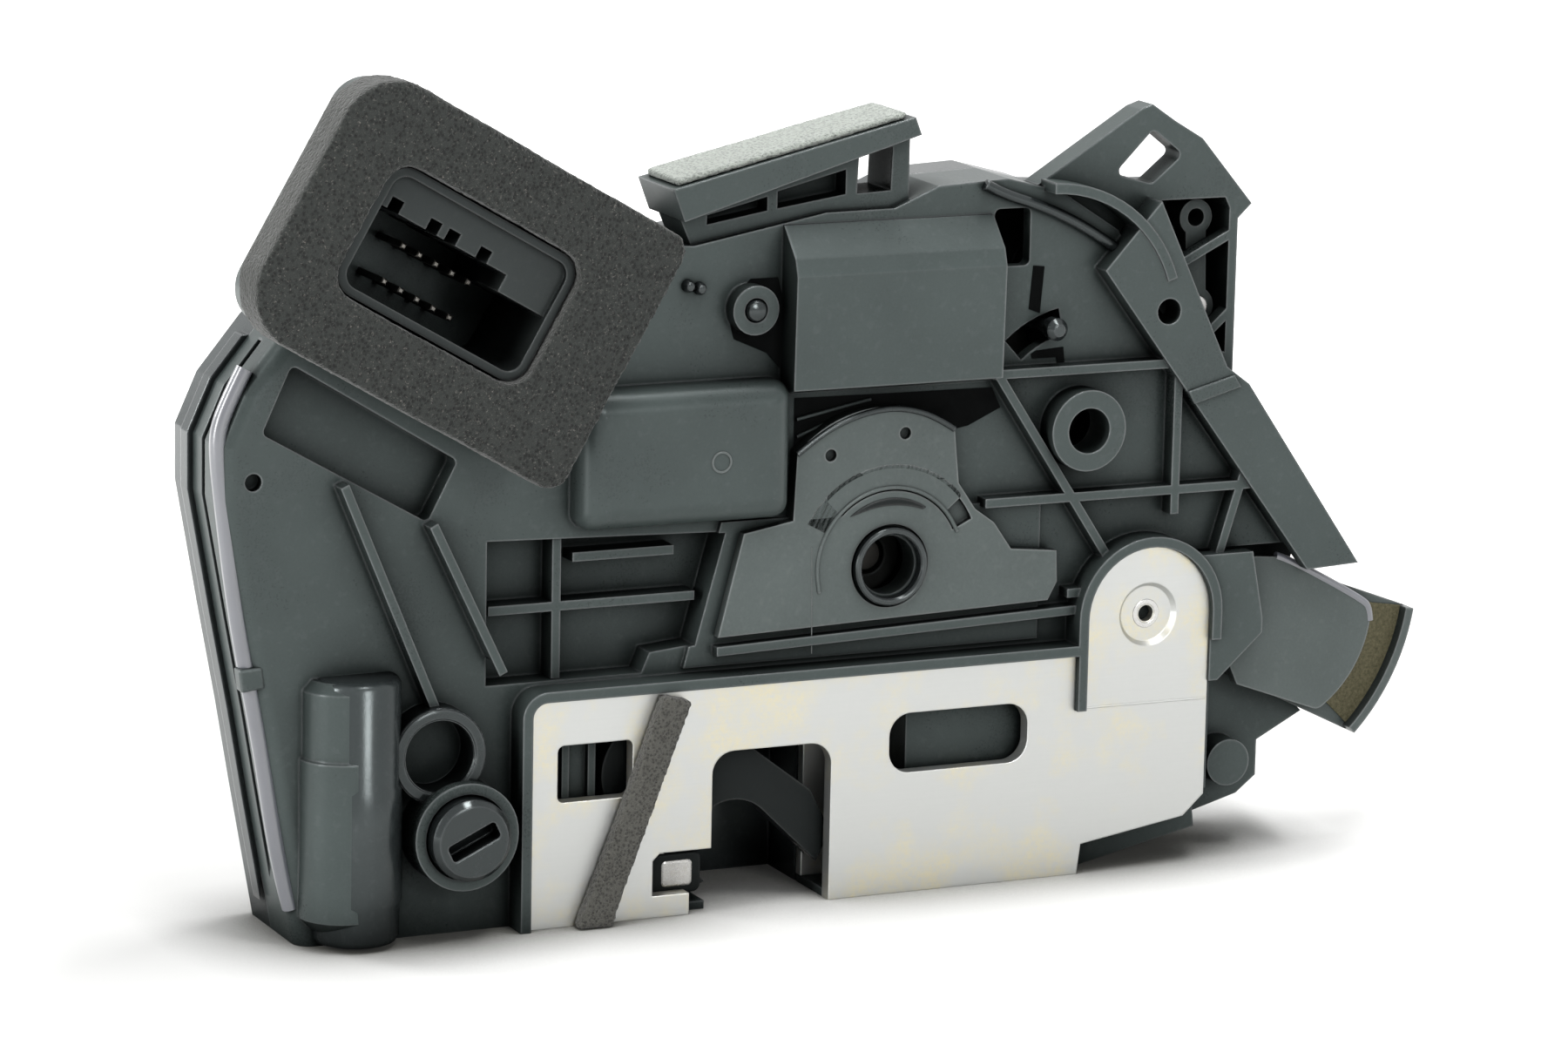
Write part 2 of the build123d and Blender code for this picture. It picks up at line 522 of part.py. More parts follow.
def torsion_spring(pivot, radius, wire, front, turns, leg):
    """Path of a torsion spring round a pin: a few turns, then one straight leg."""
    pitch = wire * 1.15
    low_end = (pivot[0] - DATUM_X, front + wire / 2 + pitch * turns - DATUM_DEPTH, pivot[1])
    with BuildLine() as path:
        coil = Helix(pitch, pitch * turns, radius, center=low_end, direction=(0, -1, 0))
        Line(coil @ 1, coil @ 1 + (coil % 1) * leg)
    return path.line


claw_spring_path = torsion_spring(CLAW_PIVOT, 4.6, CLAW_WIRE, CLAW_BACK + 0.12, 1.25, 5.5)
with BuildPart() as claw_spring:
    with BuildSketch(Plane(claw_spring_path @ 0, z_dir=claw_spring_path % 0)):
        RegularPolygon(CLAW_WIRE / 2, 8)
    sweep(path=claw_spring_path, is_frenet=True)
finish("claw_spring", claw_spring)

pawl_spring_path = torsion_spring(PAWL_PIVOT, 3.6, PAWL_WIRE, CLAW_BACK + 0.12, 1.75, 6)
with BuildPart() as pawl_spring:
    with BuildSketch(Plane(pawl_spring_path @ 0, z_dir=pawl_spring_path % 0)):
        RegularPolygon(PAWL_WIRE / 2, 8)
    sweep(path=pawl_spring_path, is_frenet=True)
finish("pawl_spring", pawl_spring)

with BuildPart() as striker_buffer:
    raised(buffer_seat, BACK_PLATE_BACK + 1.5, BACK - WALL - 1)
finish("striker_buffer", striker_buffer)

# ---------------------------------------------------------------- lock drive: motor, worm, wheel and lever
shaft_end = WHEEL_HUB[0] + WORM_LENGTH / 2 + 1.5


def along_x(x, height, depth):
    """Plane facing right at x, its origin at the given height and depth."""
    return Plane(origin=(x - DATUM_X, depth - DATUM_DEPTH, height), x_dir=(0, 1, 0), z_dir=(1, 0, 0))


with BuildPart() as motor:
    with BuildSketch(along_x(MOTOR_LEFT, WORM_HEIGHT, WORM_DEPTH)):
        Circle(MOTOR_R)
        Rectangle(2 * MOTOR_FLAT, 3 * MOTOR_R, mode=Mode.INTERSECT)
    extrude(amount=MOTOR_LENGTH)
    chamfer(motor.faces().sort_by(Axis.X)[-1].edges(), 0.6)
    with BuildSketch(along_x(MOTOR_LEFT + MOTOR_LENGTH, WORM_HEIGHT, WORM_DEPTH)):
        Circle(2.6)
    extrude(amount=1.0)
    with BuildSketch(along_x(MOTOR_LEFT + MOTOR_LENGTH + 1, WORM_HEIGHT, WORM_DEPTH)):
        Circle(SHAFT_R + RUN)
    extrude(amount=-6, mode=Mode.SUBTRACT)
finish("motor", motor)

with BuildPart() as motor_end_cap:
    with BuildSketch(along_x(MOTOR_LEFT, WORM_HEIGHT, WORM_DEPTH)):
        Circle(MOTOR_R - 0.4)
        Rectangle(2 * MOTOR_FLAT - 0.8, 3 * MOTOR_R, mode=Mode.INTERSECT)
    extrude(amount=-1.2)
    with BuildSketch(along_x(MOTOR_LEFT - 1.2, WORM_HEIGHT, WORM_DEPTH)):
        with Locations((3.4, 4.2), (3.4, -4.2)):
            Rectangle(0.6, 2.2)
    extrude(amount=-1.2)
finish("motor_end_cap", motor_end_cap)

worm_left = WHEEL_HUB[0] - WORM_LENGTH / 2
thread_pitch = pi * MODULE
worm_root = WORM_PITCH_R - 1.15 * MODULE
worm_tip = WORM_PITCH_R + 0.85 * MODULE
thread_turns = 2.5
thread_start = WHEEL_HUB[0] - thread_pitch * thread_turns / 2
with BuildLine() as thread_line:
    Helix(thread_pitch, thread_pitch * thread_turns, worm_root,
          center=(thread_start - DATUM_X, WORM_DEPTH - DATUM_DEPTH, WORM_HEIGHT), direction=(1, 0, 0))
with BuildPart() as worm:
    with BuildSketch(along_x(worm_left, WORM_HEIGHT, WORM_DEPTH)):
        Circle(worm_root)
    extrude(amount=WORM_LENGTH)
    with BuildSketch(along_x(MOTOR_LEFT + MOTOR_LENGTH - 3, WORM_HEIGHT, WORM_DEPTH)):
        Circle(SHAFT_R)
    extrude(amount=shaft_end - MOTOR_LEFT - MOTOR_LENGTH + 3)
    helix_start = thread_line.line @ 0
    outward = (helix_start - Vector(thread_start - DATUM_X, WORM_DEPTH - DATUM_DEPTH, WORM_HEIGHT)).normalized()
    with BuildSketch(Plane(helix_start, x_dir=outward, z_dir=thread_line.line % 0)):
        with BuildLine():
            Polyline((-0.3, -0.85), (worm_tip - worm_root, -0.32), (worm_tip - worm_root, 0.32), (-0.3, 0.85), close=True)
        make_face()
    sweep(path=thread_line.line, is_frenet=True)
finish("worm", worm)

tooth_tip = WHEEL_PITCH_R + 0.8 * MODULE
tooth_root = WHEEL_PITCH_R - 1.2 * MODULE
with BuildSketch() as wheel_sk:
    Circle(tooth_root)
    with PolarLocations(0, WHEEL_TEETH, start_angle=90 + WHEEL_PHASE):
        Polygon((tooth_root - 0.4, -0.95), (tooth_tip, -0.28), (tooth_tip, 0.28), (tooth_root - 0.4, 0.95))
wheel_profile = wheel_sk.sketch
with BuildPart() as worm_wheel:
    raised(wheel_profile, WHEEL_FRONT, WHEEL_FRONT + WHEEL_THICK, origin=WHEEL_HUB)
    raised(disc((0, 0), 4.6), WHEEL_FRONT - 0.6, WHEEL_FRONT + WHEEL_THICK + 0.5, origin=WHEEL_HUB)
    cut(widened(disc((0, 0), 9.4), 0), WHEEL_FRONT, WHEEL_FRONT + 1.2, origin=WHEEL_HUB)
    raised(disc((0, 0), 4.6), WHEEL_FRONT - 0.6, WHEEL_FRONT + 2, origin=WHEEL_HUB)
    raised(disc((0, -7.2), 1.5), WHEEL_FRONT, WHEEL_FRONT + WHEEL_THICK + 2.4, origin=WHEEL_HUB)
    cut(disc((0, 0), WHEEL_PIN_R + RUN), 0, 20, origin=WHEEL_HUB)
finish("worm_wheel", worm_wheel)

with BuildPart() as wheel_pin:
    raised(disc(WHEEL_HUB, WHEEL_PIN_R), WHEEL_FRONT - 0.4, BACK - 1)
    chamfer(wheel_pin.edges().sort_by(Axis.Y)[0], 0.5)
finish("wheel_pin", wheel_pin)

lock_tip = (WHEEL_HUB[0] + 10.6, WHEEL_HUB[1] - 3.4)
ball_centre = polar(BALL_REACH, BALL_ANGLE, LOCK_PIVOT)
with BuildPart() as lock_lever:
    raised(disc(LOCK_PIVOT, 5.0), LOCK_FRONT - 4, LOCK_BACK)
    raised([bar(LOCK_PIVOT, lock_tip, 4.4), bar(LOCK_PIVOT, ball_centre, 4.6), disc(ball_centre, 2.8),
            disc(LOCK_PIVOT, 5.0)], LOCK_FRONT, LOCK_BACK)
    cut(disc(LOCK_PIVOT, LOCK_PIN_R + RUN), 0, LOCK_BACK)
    cut(disc(ball_centre, 1.0), LOCK_FRONT, LOCK_BACK)
finish("lock_lever", lock_lever)

with BuildPart() as lock_pin:
    raised(disc(LOCK_PIVOT, LOCK_PIN_R), LOCK_FRONT - 5, BACK - 1)
finish("lock_pin", lock_pin)

with BuildPart() as ball_pin:
    raised(disc(ball_centre, 1.0), 1.6, LOCK_BACK)
    raised(disc(ball_centre, 1.5), -0.6, 1.8)
    chamfer(ball_pin.faces().sort_by(Axis.Y)[0].edges(), 0.7)
finish("ball_pin", ball_pin)

# ---------------------------------------------------------------- cable quadrant of the inside release
quadrant_front = PLATE_THICK + GAP
quadrant_back = CHAMBER_BACK - 0.6 - GAP
with BuildSketch() as face_sk:
    with BuildLine():
        edge = ThreePointArc(polar(QUADRANT_R, -8), polar(QUADRANT_R + 0.6, -28), polar(QUADRANT_R, -50))
        Polyline(edge @ 1, (1.8, -12.6), (-2, -4), (-2, 4), (4, 4.8), (8.4, 4.4), edge @ 0)
    make_face()
    fillet(face_sk.vertices().sort_by(Axis.X)[-2:], 1.6)
quadrant_face = face_sk.sketch
with BuildSketch() as flange_sk:
    with BuildLine():
        rim = CenterArc((0, 0), QUADRANT_FLANGE_R, -45, 36)
        Polyline(rim @ 1, (3.6, 5), (-3, 3), (-3, -5), (3, -12.4), rim @ 0)
    make_face()
    fillet(flange_sk.vertices().sort_by(Axis.X)[-2:], 1.2)
quadrant_flange = flange_sk.sketch
with BuildPart() as cable_quadrant:
    raised(quadrant_face, quadrant_front, quadrant_front + 1.6, origin=QUADRANT_PIVOT)
    raised(widened(quadrant_face, -1.8), quadrant_front, quadrant_back, origin=QUADRANT_PIVOT)
    raised(quadrant_flange, quadrant_back - 1.4, quadrant_back, origin=QUADRANT_PIVOT)
    raised(arc_band((0, 0), QUADRANT_FLANGE_R - 0.6, 1.2, -45, 36), quadrant_back - 3.2, quadrant_back,
           origin=QUADRANT_PIVOT)
    cut(disc((0, 0), QUADRANT_PIN_R + RUN), 0, 10, origin=QUADRANT_PIVOT)
    cut(disc((0, 0), 4.6), quadrant_back - 2, quadrant_back, origin=QUADRANT_PIVOT)
finish("cable_quadrant", cable_quadrant)

quadrant_spring_path = torsion_spring(QUADRANT_PIVOT, 3.0, PAWL_WIRE, quadrant_back - 1.9, 1.5, 2.4)
with BuildPart() as quadrant_spring:
    with BuildSketch(Plane(quadrant_spring_path @ 0, z_dir=quadrant_spring_path % 0)):
        RegularPolygon(PAWL_WIRE / 2, 8)
    sweep(path=quadrant_spring_path, is_frenet=True)
finish("quadrant_spring", quadrant_spring)

with BuildPart() as quadrant_pin:
    raised(disc(QUADRANT_PIVOT, QUADRANT_PIN_R), 0.6, CHAMBER_BACK + 1.4)
    raised(disc(QUADRANT_PIVOT, QUADRANT_PIN_R + 0.6), CHAMBER_BACK + 1.4, CHAMBER_BACK + 2.6)
finish("quadrant_pin", quadrant_pin)

# ---------------------------------------------------------------- cable bracket and outside release lever
bracket_outline = polygon(
    (72, 92.3), (86.8, 101.6), (88.6, 102.2), (92, 99.9), (96.2, 97.4), (103.9, 88.4), (101.9, 86.5),
    (101.9, 58.3), (95, 69), (89, 77), (83.5, 86), (75, 91.5))
bracket_eye = polygon((83.2, 93.2), (88.8, 98.9), (93.3, 95.4), (88.8, 91.7), soften=0.8)
loop_relief = polygon((70, 92.2), (90, 106), (98, 106), (98, 91.2), (86, 91.2))
lever_bay = polygon((90.4, 89.4), (99.9, 89.4), (100.6, 88), (100.6, 68.6), (97.6, 69.4), (93.2, 75.6), (88.4, 84.6))
with BuildPart() as cable_bracket:
    raised(bracket_outline, FACE + 1, SPLIT)
    cut(bracket_eye, 0, 20)
    cut(loop_relief, FACE + 1 + LOOP_THICK, SPLIT)
    cut(lever_bay, FACE + 1, SPLIT - WALL)
    raised([bar((92, 80), (101, 84.5), RIB), bar((97, 70.4), (101, 74), RIB)], FACE + 1, RELEASE_FRONT - GAP)
    cut(disc(RELEASE_PIVOT, RELEASE_PIN_R), RELEASE_FRONT, SPLIT)
finish("cable_bracket", cable_bracket)

release_eye = polar(RELEASE_REACH, 92)
with BuildPart() as outside_release_lever:
    raised([disc((0, 0), 2.6), bar((0, 0), release_eye, 3.0), disc(release_eye, 2.4)],
           RELEASE_FRONT, SPLIT - WALL - GAP, origin=RELEASE_PIVOT)
    cut(disc((0, 0), RELEASE_PIN_R + RUN), 0, SPLIT, origin=RELEASE_PIVOT)
    cut(disc(release_eye, 1.2), 0, SPLIT, origin=RELEASE_PIVOT)
finish("outside_release_lever", outside_release_lever)

with BuildPart() as release_pin:
    raised(disc(RELEASE_PIVOT, RELEASE_PIN_R), RELEASE_FRONT - 0.4, SPLIT)
    raised(disc(RELEASE_PIVOT, RELEASE_PIN_R + 1), SPLIT, SPLIT + 1)
finish("release_pin", release_pin)

# ---------------------------------------------------------------- emergency lock knob
with BuildPart() as lock_knob:
    raised(disc(KNOB_CENTRE, KNOB_R), KNOB_FRONT, -0.6 - GAP)
    chamfer(lock_knob.edges().sort_by(Axis.Y)[0], 0.7)
    raised(disc(KNOB_CENTRE, KNOB_SHAFT_R), KNOB_FRONT + 1, BACK - 1)
    with BuildSketch(at_depth(KNOB_FRONT, KNOB_CENTRE, 25)):
        RectangleRounded(7.0, 2.3, 0.5)
    extrude(amount=-2.6, mode=Mode.SUBTRACT)
    raised([disc(KNOB_CENTRE, 4.6), bar(KNOB_CENTRE, polar(7.5, 75, KNOB_CENTRE), 4)], FACE + WALL + GAP, FACE + WALL + 3)
finish("lock_knob", lock_knob)

# ---------------------------------------------------------------- electrics
with BuildPart() as circuit_carrier:
    raised(polygon((-32, 22), (-3, 22), (-3, 66), (3, 74), (3, 86), (-18, 95.6), (-21.4, 92), (-22.6, 84), (-29.6, 77.4), (-35.4, 70), (-36, 66)),
           CARRIER_FRONT, CARRIER_FRONT + 1.6)
    raised([bar((-28, 30), (-28, 70), 1.4), bar((-22, 30), (-22, 72), 1.4), bar((-16, 34), (-16, 72), 1.4),
            bar((-10, 34), (-10, 70), 1.4)], CARRIER_FRONT - 0.4, CARRIER_FRONT)
    cut(disc((-34.2, 62), BOSS_R + GAP), 0, 20)
    raised([disc(place, 2.4) for place in ((-30, 26), (-6, 26), (-8, 70))], CARRIER_FRONT, BACK - WALL)
finish("circuit_carrier", circuit_carrier)

with BuildPart() as microswitches:
    raised([slab(-27, 24, -19, 29), slab(-15, 24, -7, 29)], CARRIER_FRONT - 6, CARRIER_FRONT)
    raised([slab(-24.4, 29, -22.6, 30), slab(-12.4, 29, -10.6, 30)], CARRIER_FRONT - 4, CARRIER_FRONT - 2)
finish("microswitches", microswitches)

with BuildPart() as contact_pins:
    with BuildSketch(at_depth(CARRIER_FRONT, PAD_CENTRE, PAD_TURN)):
        with Locations(PIN_SHIFT):
            with GridLocations(PIN_PITCH, PIN_ROWS, PIN_COLUMNS, 2):
                Rectangle(PIN_SIDE, PIN_SIDE)
    extrude(amount=CARRIER_FRONT + 2.0)
    chamfer(contact_pins.faces().sort_by(Axis.Y)[:2 * PIN_COLUMNS].edges(), 0.2)
finish("contact_pins", contact_pins)

with BuildPart() as connector_shroud:
    with BuildSketch(at_depth(SOCKET_FLOOR, PAD_CENTRE, PAD_TURN)):
        with Locations(SOCKET_SHIFT):
            RectangleRounded(SOCKET_LENGTH, SOCKET_WIDTH, 3)
            RectangleRounded(SOCKET_LENGTH - 2 * SHROUD_WALL, SOCKET_WIDTH - 2 * SHROUD_WALL, 2, mode=Mode.SUBTRACT)
    extrude(amount=SOCKET_FLOOR - SHROUD_FRONT)
    # coding ledge along the upper side, with its key notches, and the blind block at its right end
    ledge_low = SOCKET_SHIFT[1] + SOCKET_WIDTH / 2 - SHROUD_WALL - LEDGE
    ledge_right = SOCKET_SHIFT[0] + SOCKET_LENGTH / 2 - SHROUD_WALL
    with BuildSketch(at_depth(SOCKET_FLOOR, PAD_CENTRE, PAD_TURN)):
        with Locations((SOCKET_SHIFT[0], ledge_low + LEDGE / 2)):
            Rectangle(2 * (ledge_right - SOCKET_SHIFT[0]), LEDGE)
        with Locations((ledge_right - BLOCK / 2, ledge_low)):
            Rectangle(BLOCK, LEDGE)
        with Locations(*[(SOCKET_SHIFT[0] + x, ledge_low + 0.6) for x in (-11.2, -5.4, -2.6, 2.2)]):
            Rectangle(1.7, 2.0, mode=Mode.SUBTRACT)
    extrude(amount=SOCKET_FLOOR - SHROUD_FRONT - 0.8)
finish("connector_shroud", connector_shroud)

# ---------------------------------------------------------------- foam pad and foam strip
with BuildPart() as foam_gasket:
    with BuildSketch(at_depth(TOWER_FRONT, PAD_CENTRE, PAD_TURN)) as pad_sk:
        Rectangle(PAD_LENGTH, PAD_WIDTH)
        corners = pad_sk.vertices().sort_by(lambda v: pad_plane.to_local_coords(v.center()).X)
        fillet(corners[:2], 7.5)
        fillet(pad_sk.vertices().sort_by(lambda v: pad_plane.to_local_coords(v.center()).X)[-2:], 2.5)
        with Locations(SOCKET_SHIFT):
            RectangleRounded(SOCKET_LENGTH + 0.6, SOCKET_WIDTH + 0.6, 3.3, mode=Mode.SUBTRACT)
    extrude(amount=PAD_THICK)
finish("foam_gasket", foam_gasket)

with BuildPart() as foam_strip:
    raised(polygon((17.7, 29.9), (21.5, 28.9), (10.8, 0.1), (6.0, 0.1)), -STRIP_THICK, 0)
finish("foam_strip", foam_strip)

# ---------------------------------------------------------------- top shelf, gear cover and screws
shelf_bar = polygon((19.3, 94.5), (53, 102.3), (53.9, 100), (20.9, 90.3))


def shelf_top(x):
    """Height of the shelf's sloping top above x."""
    return 94.5 + (x - 19.3) * (102.3 - 94.5) / (53 - 19.3)


with BuildPart() as top_shelf:
    raised(shelf_bar, 1.6, SPLIT)
    raised(polygon((22.8, 86.9), (41.4, 90.3), (51, 90.4), (53.4, 91.4), (53.4, 100), (21, 91)), 4, SPLIT - 2)
    cut(polygon((46, 92.4), (50.8, 92.6), (51, 98.3), (46.2, 97.2)), 0, 20)
    cut(polygon((25, 89.4), (33.4, 90.8), (33.4, 92.6), (25, 90.6)), 0, 7)
    cut(polygon((34.8, 91), (44.4, 92.4), (44.4, 95.6), (34.8, 93.2)), 0, 7)
finish("top_shelf", top_shelf)

with BuildPart() as shelf_pad:
    raised(polygon((20.2, shelf_top(20.2)), (52.2, shelf_top(52.2)), (52, shelf_top(52) + 1), (20, shelf_top(20) + 1)),
           2.2, SPLIT - 0.6)
finish("shelf_pad", shelf_pad)

with BuildSketch() as cover_sk:
    with BuildLine():
        top = ThreePointArc((36.9, 59.7), (49.6, 65.0), (59.3, 61.7))
        Polyline(top @ 1, (60.1, 54.2), (62.6, 50.6), (65.4, 48.6), (68, 44.9), (74.7, 44.2), (74.9, 40), (73.6, 37.6),
                 (26.2, 36.2), (29.6, 49.6), (36.5, 50.8), top @ 0)
    make_face()
    with Locations(WHEEL_HUB):
        Circle(5.5, mode=Mode.SUBTRACT)
cover_profile = cover_sk.sketch
with BuildSketch() as upper_cover_sk:
    add(cover_profile)
    add(slab(0, 51, 100, 80), mode=Mode.INTERSECT)
with BuildPart() as gear_cover:
    raised(cover_profile, FACE - 2.2, FACE - 0.8)
    raised(upper_cover_sk.sketch, FACE - 0.8, FACE)
    cut(arc_band(WHEEL_HUB, 11.4, 3.0, 25, 110), 0, FACE - 1.4)
    cut([disc(polar(17.5, 120, WHEEL_HUB), 0.8), disc(polar(17.5, 84, WHEEL_HUB), 0.8)], 0, FACE - 1.4)
finish("gear_cover", gear_cover)

with BuildPart() as housing_screws:
    raised([disc(place, SCREW_R) for place in screw_places], FACE + 3, BACK - 2.2)
    raised([disc(place, SCREW_HEAD_R) for place in screw_places], BACK - 2.2, BACK - 0.4)
    cut([slab(place[0] - 0.35, place[1] - 1.6, place[0] + 0.35, place[1] + 1.6) for place in screw_places],
        BACK - 1.1, BACK)
    cut([slab(place[0] - 1.6, place[1] - 0.35, place[0] + 1.6, place[1] + 0.35) for place in screw_places],
        BACK - 1.1, BACK)
finish("housing_screws", housing_screws)
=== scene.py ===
# %% [markdown]
# A vehicle's door latch with its electric lock drive, dressed for a studio picture.
# The hard shapes come from the imported CAD model, which is a fixed frame: nothing in it is moved or redrawn.
# This lesson lays a camera, a room and lamps round it, writes one finish for each real material, and then
# models the pieces that CAD can't give: soft foam, moulded lips, painted shade in dark pockets and small
# marks of the tool.

# %% Load the frame
import json
import math

import bmesh
import bpy
from mathutils import Matrix, Vector, noise


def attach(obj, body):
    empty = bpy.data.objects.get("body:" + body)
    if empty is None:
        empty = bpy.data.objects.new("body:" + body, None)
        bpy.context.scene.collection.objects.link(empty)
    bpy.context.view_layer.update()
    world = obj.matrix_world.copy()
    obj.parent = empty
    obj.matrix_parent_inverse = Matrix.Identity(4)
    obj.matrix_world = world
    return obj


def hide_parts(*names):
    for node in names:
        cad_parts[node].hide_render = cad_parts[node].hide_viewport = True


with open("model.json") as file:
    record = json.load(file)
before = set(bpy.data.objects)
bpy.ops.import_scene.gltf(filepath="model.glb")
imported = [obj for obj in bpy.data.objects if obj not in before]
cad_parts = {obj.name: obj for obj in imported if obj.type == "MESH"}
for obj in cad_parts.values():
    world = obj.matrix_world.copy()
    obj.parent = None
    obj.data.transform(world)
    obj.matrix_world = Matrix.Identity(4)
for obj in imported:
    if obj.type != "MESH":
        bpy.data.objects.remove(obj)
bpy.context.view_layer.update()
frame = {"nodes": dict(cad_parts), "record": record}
scene = bpy.context.scene

# %% [markdown]
# The CAD source is drawn from the lower left corner of the steel plate, with depth running away from the
# viewer. Every piece below is placed with the same drawing numbers, so one small function moves a drawing
# point into the frame. That keeps each number recognisable beside the real part.

# %% Drawing points
MM = 0.001
DATUM = Vector((45.2, 4.5, 0.0))  # the frame's origin, as a point of the drawing


def at(x, depth, height):
    """A point of the drawing, in millimetres, as a place in the frame, in metres."""
    return (Vector((x, depth, height)) - DATUM) * MM


print("plate corner sits at", tuple(round(c, 4) for c in at(0, 0, 0)))

# %% [markdown]
# A long lens flattens a small part the way a catalogue picture does. The camera stands to the left of the
# latch and looks slightly down. Its three axes are written out as the columns of a rotation, which is
# plainer than three nested angles and keeps the small roll of a hand-set tripod.

# %% Camera
FOCAL_LENGTH = 140  # mm
SENSOR_WIDTH = 36  # mm
CAMERA_PLACE = (-0.3335, -0.6974, 0.2134)


def stand(name, data):
    """Puts a camera, a lamp, a mesh or a curve into the scene as an object."""
    thing = bpy.data.objects.new(name, data)
    scene.collection.objects.link(thing)
    return thing


lens = bpy.data.cameras.new("studio_lens")
lens.lens, lens.sensor_width = FOCAL_LENGTH, SENSOR_WIDTH
lens.clip_start, lens.clip_end = 0.05, 20
view_right = Vector((0.90795, -0.41858, 0.02049)).normalized()
view_up = Vector((0.06887, 0.19724, 0.97793)).normalized()
view_back = view_right.cross(view_up).normalized()
camera_turn = Matrix((view_right, view_up, view_back)).transposed().to_4x4()
camera = stand("studio_camera", lens)
camera.matrix_world = Matrix.Translation(CAMERA_PLACE) @ camera_turn
scene.camera = camera
scene.view_settings.view_transform = "Standard"
print("camera looks along", tuple(round(-c, 3) for c in view_back))

# %% [markdown]
# Shader nodes are only maths with boxes round it. One small class lets that maths be written as Python: a
# Wire is an output socket, and adding or multiplying wires adds the node that does it. Numbers go through
# Math nodes, and colours and vectors through Vector Math, because a Math node would turn a colour grey.

# %% Wires
class Wire:
    """An output socket that can be used in sums."""

    def __init__(self, finish, socket):
        self.finish, self.socket = finish, socket

    def sum_of(self, operation, *terms):
        """One maths node's result. Beside a vector, a plain number is spread over x, y and z."""
        wires = [t for t in terms if isinstance(t, Wire)]
        wide = any(w.socket.type != "VALUE" for w in wires) or any(isinstance(t, tuple) for t in terms)
        kind = "ShaderNodeVectorMath" if wide else "ShaderNodeMath"
        if wide:
            terms = [t if isinstance(t, (Wire, tuple)) else (t, t, t) for t in terms]
        return self.finish.node(kind, {"operation": operation}, dict(enumerate(terms)))

    def __add__(self, other):
        return self.sum_of("ADD", self, other)

    __radd__ = __add__

    def __mul__(self, other):
        return self.sum_of("MULTIPLY", self, other)

    __rmul__ = __mul__

    def __sub__(self, other):
        return self.sum_of("SUBTRACT", self, other)

    def __rsub__(self, other):
        return self.sum_of("SUBTRACT", other, self)

    def smallest(self, other):
        return self.sum_of("MINIMUM", self, other)

    def largest(self, other):
        return self.sum_of("MAXIMUM", self, other)

    def ramp(self, low, high):
        """0 at low, 1 at high, and held there beyond."""
        return self.finish.node("ShaderNodeMapRange", {"clamp": True}, {0: self, 1: low, 2: high})


print("wires ready")

# %% [markdown]
# A Finish is a material. Its node method makes any node: first the settings, then the sockets, each with a
# plain value or a wire. All patterns are laid in the frame's own millimetres, so a grain of 0.3 means
# 0.3 mm on the part wherever it is. A Bevel node finds the edges and Ambient Occlusion the corners. Both
# could be painted on by hand, but such paint would be lost each time the part is drawn anew.

# %% Finishes
RAY_SAMPLES = 6
# The colour of painted shade in shut-in corners and dark pockets.
PAINTED_SHADE_BLACK = (0.0015, 0.0018, 0.0018)
SHUT_IN, WIDE_OPEN = 0.33, 0.98  # shares of free space round a point


